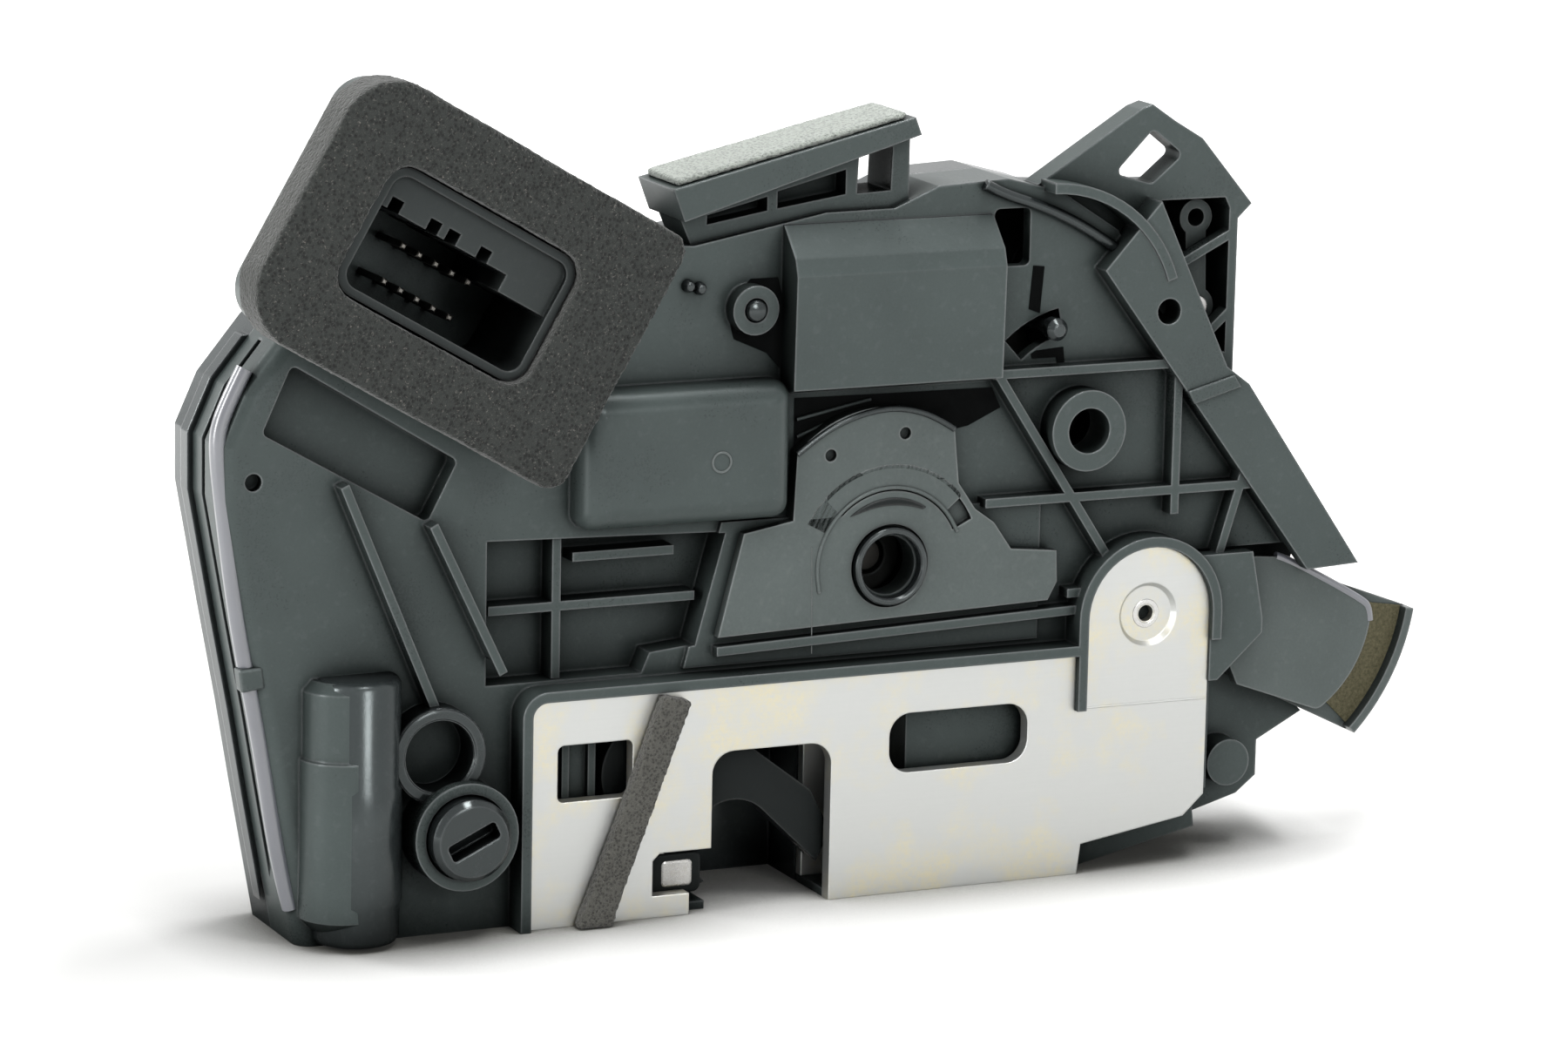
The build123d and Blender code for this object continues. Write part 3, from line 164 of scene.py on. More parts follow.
class Finish:
    """A material built on one Principled shader."""

    def __init__(self, name, **constants):
        self.material = bpy.data.materials.new(name)
        self.material.use_nodes = True
        self.tree = self.material.node_tree
        self.surface = self.tree.nodes["Principled BSDF"]
        for socket, value in constants.items():
            self.surface.inputs[socket.replace("_", " ")].default_value = value
        self.place = self.node("ShaderNodeTexCoord", output="Object") * (1.0 / MM)

    def node(self, kind, settings=None, sockets=None, output=0):
        """Adds one node with its settings and sockets, and gives a wire from its output."""
        box = self.tree.nodes.new(kind)
        for name, value in (settings or {}).items():
            setattr(box, name, value)
        for name, value in (sockets or {}).items():
            if isinstance(value, Wire):
                self.tree.links.new(value.socket, box.inputs[name])
            else:
                box.inputs[name].default_value = value
        return Wire(self, box.outputs[output])

    def paint(self, socket, wire):
        """Feeds one of the surface's own sockets."""
        self.tree.links.new(wire.socket, self.surface.inputs[socket])

    def mottle(self, size, detail=2.0, roughness=0.5, place=None):
        """Soft random variation, with lumps about size millimetres across, from 0 to 1."""
        sockets = {"Vector": place or self.place, "Scale": 1.0 / size}
        sockets.update({"Detail": detail, "Roughness": roughness})
        return self.node("ShaderNodeTexNoise", {"noise_dimensions": "3D"}, sockets)

    def cells(self, size):
        """Round cells about size millimetres across: 0 in each middle, and rising outwards."""
        sockets = {"Vector": self.place, "Scale": 1.0 / size}
        return self.node("ShaderNodeTexVoronoi", {"feature": "F1"}, sockets, output="Distance")

    def blend(self, factor, low, high):
        """A colour between low and high. The Mix node keeps its colours in sockets 6 and 7 and output 2."""
        low, high = [(*colour, 1) if isinstance(colour, tuple) else colour for colour in (low, high)]
        return self.node("ShaderNodeMix", {"data_type": "RGBA"}, {0: factor, 6: low, 7: high}, output=2)

    def rounding(self, radius):
        """The normal of the same surface with its sharp edges rounded by radius millimetres."""
        return self.node("ShaderNodeBevel", {"samples": RAY_SAMPLES}, {"Radius": radius * MM})

    def edges(self, rounded, gain=4.0):
        """1 along sharp edges and 0 on open faces."""
        flat = self.node("ShaderNodeNewGeometry", output="Normal")
        sockets = {0: rounded, 1: flat}
        along = self.node("ShaderNodeVectorMath", {"operation": "DOT_PRODUCT"}, sockets, output="Value")
        return ((1.0 - along) * gain).smallest(1.0)

    def openness(self, reach):
        """0 deep in a corner and 1 in the open, felt over reach millimetres."""
        sockets = {"Distance": reach * MM}
        shade = self.node("ShaderNodeAmbientOcclusion", {"samples": RAY_SAMPLES}, sockets, output="AO")
        return shade.ramp(SHUT_IN, WIDE_OPEN)

    def paint_corner_shade(self, open_face, depth=0.9):
        """Paints shade: mixes in a nearly black shader where the surface is shut in, as a dark corner looks.
        """
        black = {"Base Color": (*PAINTED_SHADE_BLACK, 1), "Roughness": 1.0, "Specular IOR Level": 0.0}
        shade_shader = self.node("ShaderNodeBsdfPrincipled", {}, black)
        surface = Wire(self, self.surface.outputs[0])
        share = open_face * depth + (1.0 - depth)
        mixed = self.node("ShaderNodeMixShader", {}, {0: share, 1: shade_shader, 2: surface})
        self.tree.links.new(mixed.socket, self.tree.nodes["Material Output"].inputs["Surface"])

    def relief(self, height, depth, normal=None):
        """Feeds the surface's normal with bumps of the given depth in millimetres."""
        sockets = {"Height": height, "Distance": depth * MM, "Strength": 1.0}
        if normal:
            sockets["Normal"] = normal
        self.paint("Normal", self.node("ShaderNodeBump", {}, sockets))


print("finishes ready")

# %% [markdown]
# The room is a white floor and a white sky. White has to come from their own colour and never from more
# light on the part, so both are seen as plain white by the camera and in reflections, while the light they
# give to the part stays modest. Near the part the floor hardly glows, so the soft shadow is left on it, and
# the glow grows with distance until the floor is as white as the sky. Where the part shuts the floor in, its
# colour is darkened as well: a painted contact shadow that grounds the part.

# %% Floor
WHITE = (1, 1, 1, 1)
FLOOR_GREY, PAINTED_SHADOW_GREY = (0.80, 0.80, 0.79), (0.11, 0.11, 0.098)
CONTACT_REACH = 16.0  # mm
GLOW_STARTS, GLOW_FULL = 110.0, 420.0  # mm from the frame's origin
NEAR_GLOW = 0.01
FLOOR_HALF = 6  # m


def seen_directly(recipe):
    """1 for rays that show the room itself: to the camera, in a reflection or through glass."""
    camera_ray = recipe.node("ShaderNodeLightPath", output="Is Camera Ray")
    mirror_ray = recipe.node("ShaderNodeLightPath", output="Is Glossy Ray")
    clear_ray = recipe.node("ShaderNodeLightPath", output="Is Transmission Ray")
    return camera_ray.largest(mirror_ray).largest(clear_ray)


floor_finish = Finish("studio_floor", Emission_Color=WHITE, Roughness=0.9, Specular_IOR_Level=0.0)
from_origin = {0: floor_finish.place}
distance = floor_finish.node("ShaderNodeVectorMath", {"operation": "LENGTH"}, from_origin, output="Value")
glow = distance.ramp(GLOW_STARTS, GLOW_FULL) * (1.0 - NEAR_GLOW) + NEAR_GLOW
open_floor = floor_finish.openness(CONTACT_REACH)
# Painted shadow: the floor's colour darkens towards a grey where the part shuts it in.
floor_finish.paint("Base Color", floor_finish.blend(open_floor, PAINTED_SHADOW_GREY, FLOOR_GREY))
floor_finish.paint("Emission Strength", seen_directly(floor_finish) * glow)

floor_mesh = bpy.data.meshes.new("studio_floor")
floor_corners = [(x * FLOOR_HALF, y * FLOOR_HALF, 0) for x, y in ((-1, -1), (1, -1), (1, 1), (-1, 1))]
floor_mesh.from_pydata(floor_corners, [], [(0, 1, 2, 3)])
floor_mesh.materials.append(floor_finish.material)
floor = stand("studio_floor", floor_mesh)
print("floor:", 2 * FLOOR_HALF, "m wide")

# %% [markdown]
# The sky is the world's background. It has two strengths: full white for rays that see it, and much less
# for the light that it casts, so that the lamps do the modelling.

# %% Sky
SKY_LIGHT = 0.30


class Sky(Finish):
    """The world's nodes, written with a finish's own methods."""

    def __init__(self, world):
        self.tree = world.node_tree
        self.surface = self.tree.nodes["Background"]


scene.world = bpy.data.worlds.new("studio_sky")
scene.world.use_nodes = True
air = Sky(scene.world)
air.surface.inputs["Color"].default_value = WHITE
air.paint("Strength", seen_directly(air) * (1.0 - SKY_LIGHT) + SKY_LIGHT)
print("sky gives", SKY_LIGHT, "of its light to the part")

# %% [markdown]
# Black plastic is hard to light, because it shows little but reflections. Four soft boxes do it: a strip
# overhead for the bright tops of ribs and rims, an upright strip low at the left for the long flange, a
# square box behind on the left that draws a line of light along the outline, and one at the front right
# that keeps the faces from going flat. Strips give narrow, clear highlights where broad boxes would turn
# the whole part grey.

# %% Lamps
PART_MIDDLE = (0, 0, 0.055)


def soft_box(name, place, width, height, power):
    """A rectangular area lamp that points at the part."""
    box = bpy.data.lights.new(name, "AREA")
    box.shape, box.size, box.size_y, box.energy = "RECTANGLE", width, height, power
    lamp = stand(name, box)
    lamp.location = place
    lamp.rotation_euler = (Vector(PART_MIDDLE) - Vector(place)).to_track_quat("-Z", "Y").to_euler()


soft_box("lamp_overhead", (0.10, -0.04, 0.60), width=0.60, height=0.10, power=3.9)
soft_box("lamp_left", (-0.78, -0.16, 0.26), width=0.10, height=0.60, power=5.2)
soft_box("lamp_rim", (-0.62, 0.62, 0.34), width=0.24, height=0.24, power=4.0)
soft_box("lamp_front", (0.10, -0.90, 0.34), width=0.26, height=0.26, power=3.25)
print("lamps:", len(bpy.data.lights))

# %% [markdown]
# The shells are black polyamide with a spark-eroded grain: satin on open faces, polished where the tool is
# split and on the rounded rims. The roughness drops along the edges, so the rims catch the overhead lamp as
# moulded edges do, and the colour is lightened there towards a rim colour as a painted highlight. Two layers
# of noise make the grain and the slight flow marks, and a third a little dust. Down between the ribs the
# plastic is painted nearly black as shade: there a Mix Shader takes over with a dull black shader, because
# a darker colour alone would still reflect the room.

# %% Moulded plastic
GRAIN_SIZE, DUST_SIZE, FLOW_SIZE = 0.35, 1.1, 14.0  # mm
RIM_RADIUS = 0.5  # mm
CREVICE_REACH = 8.0  # mm
SMOOTHEST_PLASTIC = 0.12
FLOW_TONE = 1.4  # how much paler the flow marks are


def moulded(name, colour, rim_highlight_colour, roughness, grain_depth=0.010, gloss=0.3):
    """Grained plastic: rounder, shinier and painted lighter as a highlight along its edges; painted shade in
    its corners.
    """
    plastic = Finish(name, Specular_IOR_Level=gloss, Specular_Tint=(0.90, 1.0, 1.0, 1), Coat_Roughness=0.12)
    rounded = plastic.rounding(RIM_RADIUS)
    edge = plastic.edges(rounded)
    open_face = plastic.openness(CREVICE_REACH)
    flow = plastic.mottle(FLOW_SIZE, detail=3.0)
    fine = plastic.mottle(GRAIN_SIZE, detail=2.0, roughness=0.65)
    dust = plastic.mottle(DUST_SIZE, detail=4.0).ramp(0.56, 0.72)
    tone = (flow * 0.7 + fine * 0.3).ramp(0.3, 0.72)
    skin = plastic.blend(tone, colour, tuple(c * FLOW_TONE for c in colour))
    # Painted highlight: along the edges the colour is lightened towards the rim colour; the dust term is a
    # little real dust.
    plastic.paint("Base Color", plastic.blend(edge * 0.75 + dust * 0.06, skin, rim_highlight_colour))
    uneven = roughness + (flow - 0.5) * 0.14 + (fine - 0.5) * 0.1 - edge * 0.16
    plastic.paint("Roughness", uneven.largest(SMOOTHEST_PLASTIC))
    plastic.paint("Coat Weight", edge * open_face * 0.7)
    plastic.relief(fine, grain_depth, rounded)
    # Painted shade: where the plastic is shut in, it is mixed with a nearly black shader.
    plastic.paint_corner_shade(open_face)
    return plastic.material


# The second colour of each entry is a painted highlight, laid along the edges.
plastics = {  # slot: colour, rim colour, roughness, and what else differs
    "housing_plastic": ((0.036, 0.045, 0.0435), (0.20, 0.21, 0.215), 0.30, {}),
    "cover_plastic": ((0.020, 0.024, 0.0245), (0.14, 0.145, 0.155), 0.22, {"gloss": 0.5}),
    "lever_plastic": ((0.062, 0.073, 0.071), (0.24, 0.25, 0.25), 0.32, {}),
    "jacket_plastic": ((0.004, 0.0048, 0.0048), (0.03, 0.032, 0.032), 0.42, {"gloss": 0.18}),
    "knob_plastic": ((0.010, 0.012, 0.0125), (0.09, 0.095, 0.10), 0.14,
                     {"gloss": 0.55, "grain_depth": 0.003}),
    "shroud_plastic": ((0.012, 0.014, 0.0138), (0.07, 0.075, 0.075), 0.34, {}),
    "gear_plastic": ((0.030, 0.031, 0.029), (0.07, 0.07, 0.066), 0.38, {"grain_depth": 0.004}),
    "rubber": ((0.012, 0.012, 0.012), (0.02, 0.02, 0.02), 0.62, {"grain_depth": 0.02}),
}
finishes = {}
for slot_name, (colour, rim_highlight_colour, roughness, extras) in plastics.items():
    finishes[slot_name] = moulded(slot_name, colour, rim_highlight_colour, roughness, **extras)
print("plastics:", ", ".join(plastics))

# %% [markdown]
# The plate is cold-rolled steel with zinc and a clear passivation. Zinc is satin rather than mirror bright,
# slightly warm, and the passivation leaves faint straw-coloured clouds. Rolling lines run along the strip,
# so one noise is stretched in x, and the punched edges are brighter than the faces. The motor's can and the
# tinned pins are drawn along other lines, while turned and ground steel keeps a round noise.

# %% Metals
LINE_SIZE, SPECK_SIZE, CLOUD_SIZE = 0.35, 0.6, 9.0  # mm
LINE_DEPTH = 0.003  # mm
PUNCHED_RADIUS = 0.25  # mm
SMOOTHEST_METAL = 0.1
EDGE_TONE = 1.35  # how much brighter a rubbed edge is


def metal(name, colour, tint, roughness, lines=(1, 1, 1), shut_in=0.0):
    """Satin metal with drawn lines, faint clouds of tint, brighter edges, and painted shade in corners if
    shut_in is given.
    """
    steel = Finish(name, Metallic=1.0)
    rounded = steel.rounding(PUNCHED_RADIUS)
    edge = steel.edges(rounded)
    drawn = steel.mottle(LINE_SIZE, detail=3.0, roughness=0.7, place=steel.place * lines)
    cloud = steel.mottle(CLOUD_SIZE, detail=3.0, roughness=0.6)
    speck = steel.mottle(SPECK_SIZE, detail=3.0, roughness=0.7)
    stain = (cloud.ramp(0.47, 0.68) * speck.ramp(0.30, 0.60)).smallest(1.0)
    skin = steel.blend(stain * 0.8, colour, tint)
    steel.paint("Base Color", steel.blend(edge * 0.7, skin, tuple(min(1.0, c * EDGE_TONE) for c in colour)))
    uneven = roughness + (drawn - 0.5) * 0.18 + (speck - 0.5) * 0.12 - edge * 0.1
    steel.paint("Roughness", uneven.largest(SMOOTHEST_METAL))
    steel.relief(drawn * 0.5 + speck * 0.5, LINE_DEPTH, rounded)
    # Painted shade: with shut_in, the metal goes nearly black where it is shut in.
    if shut_in:
        steel.paint_corner_shade(steel.openness(shut_in), 0.85)
    return steel.material


metals = {  # slot: colour, tint, roughness, and what else differs
    "zinc_plate": ((0.49, 0.497, 0.485), (0.58, 0.53, 0.37), 0.44, {"lines": (0.03, 1, 1)}),
    "bright_steel": ((0.56, 0.56, 0.55), (0.48, 0.46, 0.43), 0.28, {"shut_in": 5.0}),
    "spring_steel": ((0.30, 0.30, 0.31), (0.24, 0.22, 0.20), 0.32, {}),
    "motor_can": ((0.52, 0.52, 0.53), (0.50, 0.47, 0.40), 0.30, {"lines": (0.05, 1, 1)}),
    "tinned_pins": ((0.26, 0.25, 0.23), (0.22, 0.20, 0.17), 0.42, {"lines": (1, 1, 0.1), "shut_in": 9.0}),
}
for slot_name, (colour, tint, roughness, extras) in metals.items():
    finishes[slot_name] = metal(slot_name, colour, tint, roughness, **extras)
print("metals:", ", ".join(metals))

# %% [markdown]
# Each CAD node names its material slot in the record, so the finishes are handed out from the record. Soft
# nodes are left out here, because real foam pieces take their place below. The worm wheel's pin looks out
# of the hub's bore, and it is painted nearly black as the shade deep in that bore, so it alone gets a finish
# that its slot doesn't name.

# %% Dress the frame
slot_of = {part["node"]: part["material_slot"] for part in frame["record"]["subparts"]}
soft_slots = {"foam", "strip_foam", "felt"}
for node_name, slot_name in slot_of.items():
    if slot_name not in soft_slots:
        shape = frame["nodes"][node_name]
        shape.data.materials.clear()
        shape.data.materials.append(finishes[slot_name])
# Painted shade: this pin is darkened to the tone of the shade deep in the hub's bore.
pin_shade = metal("pin_painted_shade", (0.05, 0.048, 0.044), (0.03, 0.028, 0.022), 0.35, shut_in=6.0)
frame["nodes"]["wheel_pin"].data.materials[0] = pin_shade
print("dressed:", sum(s not in soft_slots for s in slot_of.values()), "nodes")

# %% [markdown]
# Open-cell foam is a skinless sponge: thousands of cut cells, some dark holes and some bright strut ends.
# Round cells from a Voronoi pattern give the holes, painted dark as the shade in the open pores, and a fine
# noise gives the glints, painted highlights on the strut ends. Faces that turn away from the front are
# painted paler than the front face. The strip and the shelf's pale tape are made in the same way with
# smaller cells.

# %% Foam finishes
CLUMP_SIZE, GLINT_SIZE = 4.0, 0.32  # mm
CELL_DEPTH = 0.16  # mm
WALL_SHARE = 0.45  # size of a cell's wall beside the cell


def foam(name, deep, face, glint, cell, side=None):
    """Cut sponge: cells painted dark as shade, lighter walls between them and scattered painted glints."""
    sponge = Finish(name, Roughness=0.95, Specular_IOR_Level=0.25, Sheen_Weight=0.2)
    hole = sponge.cells(cell).ramp(0.18, 0.62)
    wall = sponge.cells(cell * WALL_SHARE).ramp(0.15, 0.6)
    clump = sponge.mottle(CLUMP_SIZE, detail=3.0)
    spark = sponge.mottle(GLINT_SIZE, detail=3.0, roughness=0.8).ramp(0.60, 0.70)
    # Painted shade and highlight: the cell holes darken the colour and the glints lighten it.
    skin = sponge.blend((hole * 0.65 + wall * 0.2 + clump * 0.35).ramp(0.2, 0.95), deep, face)
    skin = sponge.blend(spark * 0.7, skin, glint)
    if side:
        normal = sponge.node("ShaderNodeNewGeometry", output="Normal")
        backward = sponge.node("ShaderNodeSeparateXYZ", {}, {0: normal}, output="Y")
        skin = sponge.blend((backward + 1.0).ramp(0.35, 0.85) * 0.75, skin, side)
    sponge.paint("Base Color", skin)
    sponge.relief(hole * 0.6 + wall * 0.4, CELL_DEPTH)
    return sponge.material


# Each entry: painted pore shade, face, painted glint, cell size, and the colour of faces turned from the
# front.
foams = {  # slot: deep, face, glint, cell, and the cut side where it differs
    "foam": ((0.005, 0.0055, 0.0052), (0.026, 0.029, 0.027), (0.19, 0.18, 0.165), 0.55,
             (0.042, 0.044, 0.041)),
    "strip_foam": ((0.022, 0.021, 0.0185), (0.078, 0.077, 0.068), (0.15, 0.145, 0.13), 0.4),
    "felt": ((0.19, 0.205, 0.19), (0.34, 0.365, 0.335), (0.46, 0.48, 0.45), 0.45),
}
for slot_name, recipe in foams.items():
    finishes[slot_name] = foam(slot_name, *recipe)
print("foams:", ", ".join(foams))

# %% [markdown]
# The foam pieces start as copies of their CAD solids, so they sit exactly where the frame expects them. A
# voxel remesh turns each into an even skin, a few smoothing passes soften the die-cut corners, and a small
# push in and out along the normals tears the cells. A slower wave lets the faces sag a little. Cloth isn't
# used: foam this thin keeps its own shape.

# %% Foam pieces
WAVE_SIZE = 11  # mm
FINER = 2.3  # how much smaller the second layer of torn cells is


def foam_piece(name, node_name, voxel, softening, tear, cell, sag):
    """A soft copy of a CAD solid, with rounded corners and a torn surface; lengths in millimetres."""
    mesh = frame["nodes"][node_name].data.copy()
    mesh.name = name
    body = bmesh.new()
    body.from_mesh(mesh)
    bmesh.ops.remove_doubles(body, verts=body.verts, dist=0.01 * MM)
    body.to_mesh(mesh)
    body.free()
    piece = stand(name, mesh)
    grid = piece.modifiers.new("even_skin", "REMESH")
    grid.mode, grid.voxel_size = "VOXEL", voxel * MM
    ease = piece.modifiers.new("soft_corners", "SMOOTH")
    ease.factor, ease.iterations = 0.5, softening
    graph = bpy.context.evaluated_depsgraph_get()
    skin = bpy.data.meshes.new_from_object(piece.evaluated_get(graph))
    piece.modifiers.clear()
    piece.data = skin
    normals = [v.normal.copy() for v in skin.vertices]
    for vertex, normal in zip(skin.vertices, normals):
        where = vertex.co / (cell * MM)
        push = noise.noise(where) * 0.6 + noise.noise(where * FINER) * 0.4
        wave = noise.noise(vertex.co / (WAVE_SIZE * MM)) * sag
        vertex.co += normal * ((push * tear + wave) * MM)
    skin.shade_smooth()
    skin.materials.clear()
    skin.materials.append(finishes[slot_of[node_name]])
    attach(piece, "base")
    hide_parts(node_name)
    print(name, "has", len(skin.polygons), "faces")


foam_piece("connector_foam", "foam_gasket", voxel=0.5, softening=6, tear=0.16, cell=0.8, sag=0.12)
foam_piece("side_foam", "foam_strip", voxel=0.4, softening=5, tear=0.14, cell=0.7, sag=0.25)
foam_piece("shelf_foam", "shelf_pad", voxel=0.4, softening=4, tear=0.08, cell=0.7, sag=0.08)

# %% [markdown]
# Small features decide whether a moulded unit looks real: witness lines, lips, ejector marks, screw heads.
# Three makers cover them. The first is the bead, a fine round ridge along a curve. It could be swept as a
# mesh, but a curve with a bevel stays smooth and needs only the few points that the eye follows.

# %% Beads
def settle(piece, body, slot, finish):
    """Dresses a small piece and hangs it on its body."""
    piece.data.materials.append(finish or finishes[slot])
    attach(piece, body)


def bead(name, slot, points, depth, radius, body="base", finish=None):
    """A round ridge through drawing points (x, height) at one depth."""
    line = bpy.data.curves.new(name, "CURVE")
    line.dimensions, line.bevel_depth, line.bevel_resolution = "3D", radius * MM, 3
    line.use_fill_caps, line.resolution_u = True, 8
    run = line.splines.new("NURBS")
    run.points.add(len(points) - 1)
    for spot, (x, height) in zip(run.points, points):
        spot.co = (*at(x, depth, height), 1)
    run.order_u, run.use_endpoint_u = min(3, len(points)), True
    settle(stand(name, line), body, slot, finish)


print("maker: bead")

# %% [markdown]
# The second maker is a lathe: it spins a half section about an axis, as a turner makes a screw head or a
# sleeve. Most axes face the viewer, and a point on the axis closes the piece like a dome. An upright piece
# is closed by a flat face at each end. Edges sharper than a set angle stay crisp, and the rest is smooth.
# One small function lays the faces between rings of points, and the third maker uses it too. Blender's
# extrude could do that work, but it numbers its points differently from run to run.

# %% Turned pieces
CRISP_ANGLE = math.radians(35)


def skinned(name, rings, capped):
    """A mesh with faces laid from ring to ring of points, and over both ends where it is capped."""
    work = bmesh.new()
    rings = [[work.verts.new(point) for point in ring] for ring in rings]
    if capped:
        work.faces.new(rings[0])
        work.faces.new(rings[-1])
    for near, far in zip(rings, rings[1:]):
        for i in range(max(len(near), len(far))):
            here = [near[i % len(near)], near[(i + 1) % len(near)]]
            there = [far[(i + 1) % len(far)], far[i % len(far)]]
            work.faces.new(list(dict.fromkeys(here + there)))
    bmesh.ops.recalc_face_normals(work, faces=work.faces)
    mesh = bpy.data.meshes.new(name)
    work.to_mesh(mesh)
    work.free()
    return mesh


def turned(name, slot, centre, section, upright=False, steps=40):
    """Spins (radius, depth) pairs about an axis facing the viewer, or (radius, height) pairs upright."""
    rings = []
    for radius, along in section:
        ring = []
        for i in range(steps if radius else 1):
            angle = 2 * math.pi * i / steps
            u, v = centre[0] + radius * math.cos(angle), centre[1] + radius * math.sin(angle)
            ring.append(at(u, v, along) if upright else at(u, along, v))
        rings.append(ring)
    mesh = skinned(name, rings, capped=upright)
    mesh.shade_smooth()
    mesh.set_sharp_from_angle(angle=CRISP_ANGLE)
    settle(stand(name, mesh), "base", slot, None)


print("maker: turned")

# %% [markdown]
# The third maker cuts an outline from sheet and breaks its edges. Outlines are lists of drawing points; an
# arc, a curved band and a box with round corners are worked out, so that they stay true to their radius. A
# Bevel modifier breaks the edges, which keeps the outline itself plain and easy to change.

# %% Cut pieces
def cut_out(name, slot, outline, front, back, body="base", broken=0.15, finish=None):
    """An outline of drawing points given thickness, from front to back, with its edges broken."""
    rings = [[at(x, depth, height) for x, height in outline] for depth in (front, back)]
    piece = stand(name, skinned(name, rings, capped=True))
    if broken:
        chamfer = piece.modifiers.new("broken_edges", "BEVEL")
        chamfer.width, chamfer.segments, chamfer.limit_method = broken * MM, 2, "ANGLE"
    settle(piece, body, slot, finish)


def arc(centre, radius, start, end, steps=12):
    """Points along an arc; angles in degrees from +x."""
    turn = [math.radians(start + (end - start) * i / steps) for i in range(steps + 1)]
    return [(centre[0] + radius * math.cos(a), centre[1] + radius * math.sin(a)) for a in turn]


def band(centre, inner, outer, start, end):
    """The outline of a curved strip."""
    return arc(centre, outer, start, end) + arc(centre, inner, end, start)


def rounded_box(low, high, corner):
    """A rectangle from its low corner to its high one, with round corners."""
    left, right, bottom, top = low[0] + corner, high[0] - corner, low[1] + corner, high[1] - corner
    points = []
    for i, middle in enumerate(((right, top), (left, top), (left, bottom), (right, bottom))):
        points += arc(middle, corner, 90 * i, 90 * i + 90, steps=5)
    return points


print("maker: cut_out")

# %% [markdown]
# The lower jaw of the claw shows in the plate's notch: a ground steel nose in a black jacket that deadens
# the striker's knock. Both ride on the claw, so they swing up into the mouth with it when the door shuts.
# Each is an outline with round corners and broken edges, as a ground part has; a subdivided cube would be
# as quick, but it would look cast.

# %% Claw nose
nose_jacket = rounded_box((17.5, 2.3), (25.0, 7.8), corner=1.1)
cut_out("claw_nose_jacket", "jacket_plastic", nose_jacket, front=2.2, back=5.9, body="claw_body",
        broken=0.3)
nose_steel = rounded_box((19.3, 3.2), (23.8, 6.9), corner=0.7)
cut_out("claw_nose_steel", "bright_steel", nose_steel, front=2.1, back=3.4, body="claw_body",
        broken=0.35)
print("claw nose: 2 pieces")

# %% [markdown]
# On the cover over the gears: a raised lip along its round top, a half ring round the hub, a dark finger
# slot above the hub with a smooth pad over it, a parting line where two tool inserts met, and a rim round
# the hub's bore. The finger slot's dark is painted shade: a thin black sheet. Beside the cover, the step box
# has an ejector mark and the lower boss a glossy ring. Such lines could be bumps in the finish, but as
# shapes they catch the lamps from every side.

# %% Cover details
HUB = (50.4, 43.9)  # the worm wheel's axis
cover_top = [
    (36.9, 59.5), (40.3, 62.0), (44.7, 63.9), (49.1, 64.75), (52.7, 64.5), (56.6, 63.2), (59.3, 61.4),
]
bead("cover_lip", "knob_plastic", cover_top, depth=0.95, radius=0.45)
bead("hub_half_ring", "lever_plastic", arc(HUB, 10.4, 196, 22, steps=16), depth=0.85, radius=0.30)
# Painted shade: a thin black sheet stands for the dark of the finger slot.
slot_shade_outline = arc(HUB, 9.0, 130, 56) + arc((50.4, 38.5), 13.4, 70, 106)
cut_out("hub_slot_painted_shade", "jacket_plastic", slot_shade_outline, front=0.72, back=0.86, broken=0)
arc_pad = band(HUB, inner=10.5, outer=13.45, start=152, end=40)
cut_out("cover_arc_pad", "lever_plastic", arc_pad, front=0.80, back=1.4, broken=0)
parting_line = [(39.2, 47.2), (39.4, 38.9), (39.5, 33.1)]
bead("cover_parting_line", "lever_plastic", parting_line, depth=0.84, radius=0.09)
mark_section = [(1.45, -1.98), (1.40, -2.10), (1.15, -2.10), (1.10, -1.98)]
turned("step_box_mark", "lever_plastic", (25.0, 59.8), mark_section)
ring_section = [(6.3, 3.0), (6.3, -0.45), (6.0, -0.8), (4.95, -0.8), (4.6, -0.4), (4.6, 4.0)]
turned("boss_ring", "knob_plastic", (-12.5, 24.2), ring_section)
rim_section = [(5.2, 1.3), (5.15, 0.15), (4.9, -0.05), (4.5, -0.05), (4.25, 0.2), (4.2, 1.3)]
turned("hub_rim", "knob_plastic", HUB, rim_section)
print("cover details: 8 pieces")

# %% [markdown]
# Behind the cover's round top the shell drops into a dark slot with two thin ribs across it, and there are
# deep pockets beside the lock lever and round the screw boss. A flat black sheet just proud of each floor
# is painted shade: it gives the depth of tone that a deep, unlit pocket has. The lever's channel has two
# sheets, one above and one below the ball pin, because the pin has to sweep freely between them.

# %% Painted shade in dark pockets
SHADE_SHEET_FRONT, SHADE_SHEET_BACK = 2.9, 3.05
RIB_DEPTH, RIB_RADIUS = 2.7, 0.28
# Painted shade: a near-black, dull finish for the sheets in the pockets.
pocket_shade = Finish("pocket_painted_shade", Roughness=0.95, Specular_IOR_Level=0.05)
pocket_shade.paint("Base Color", pocket_shade.blend(pocket_shade.mottle(2.0), PAINTED_SHADE_BLACK, (0.004, 0.0045, 0.0045)))


def shade_sheet(name, outline):
    """A thin black plate on the floor of a pocket: painted shade."""
    cut_out(name, "jacket_plastic", outline, SHADE_SHEET_FRONT, SHADE_SHEET_BACK, broken=0, finish=pocket_shade.material)


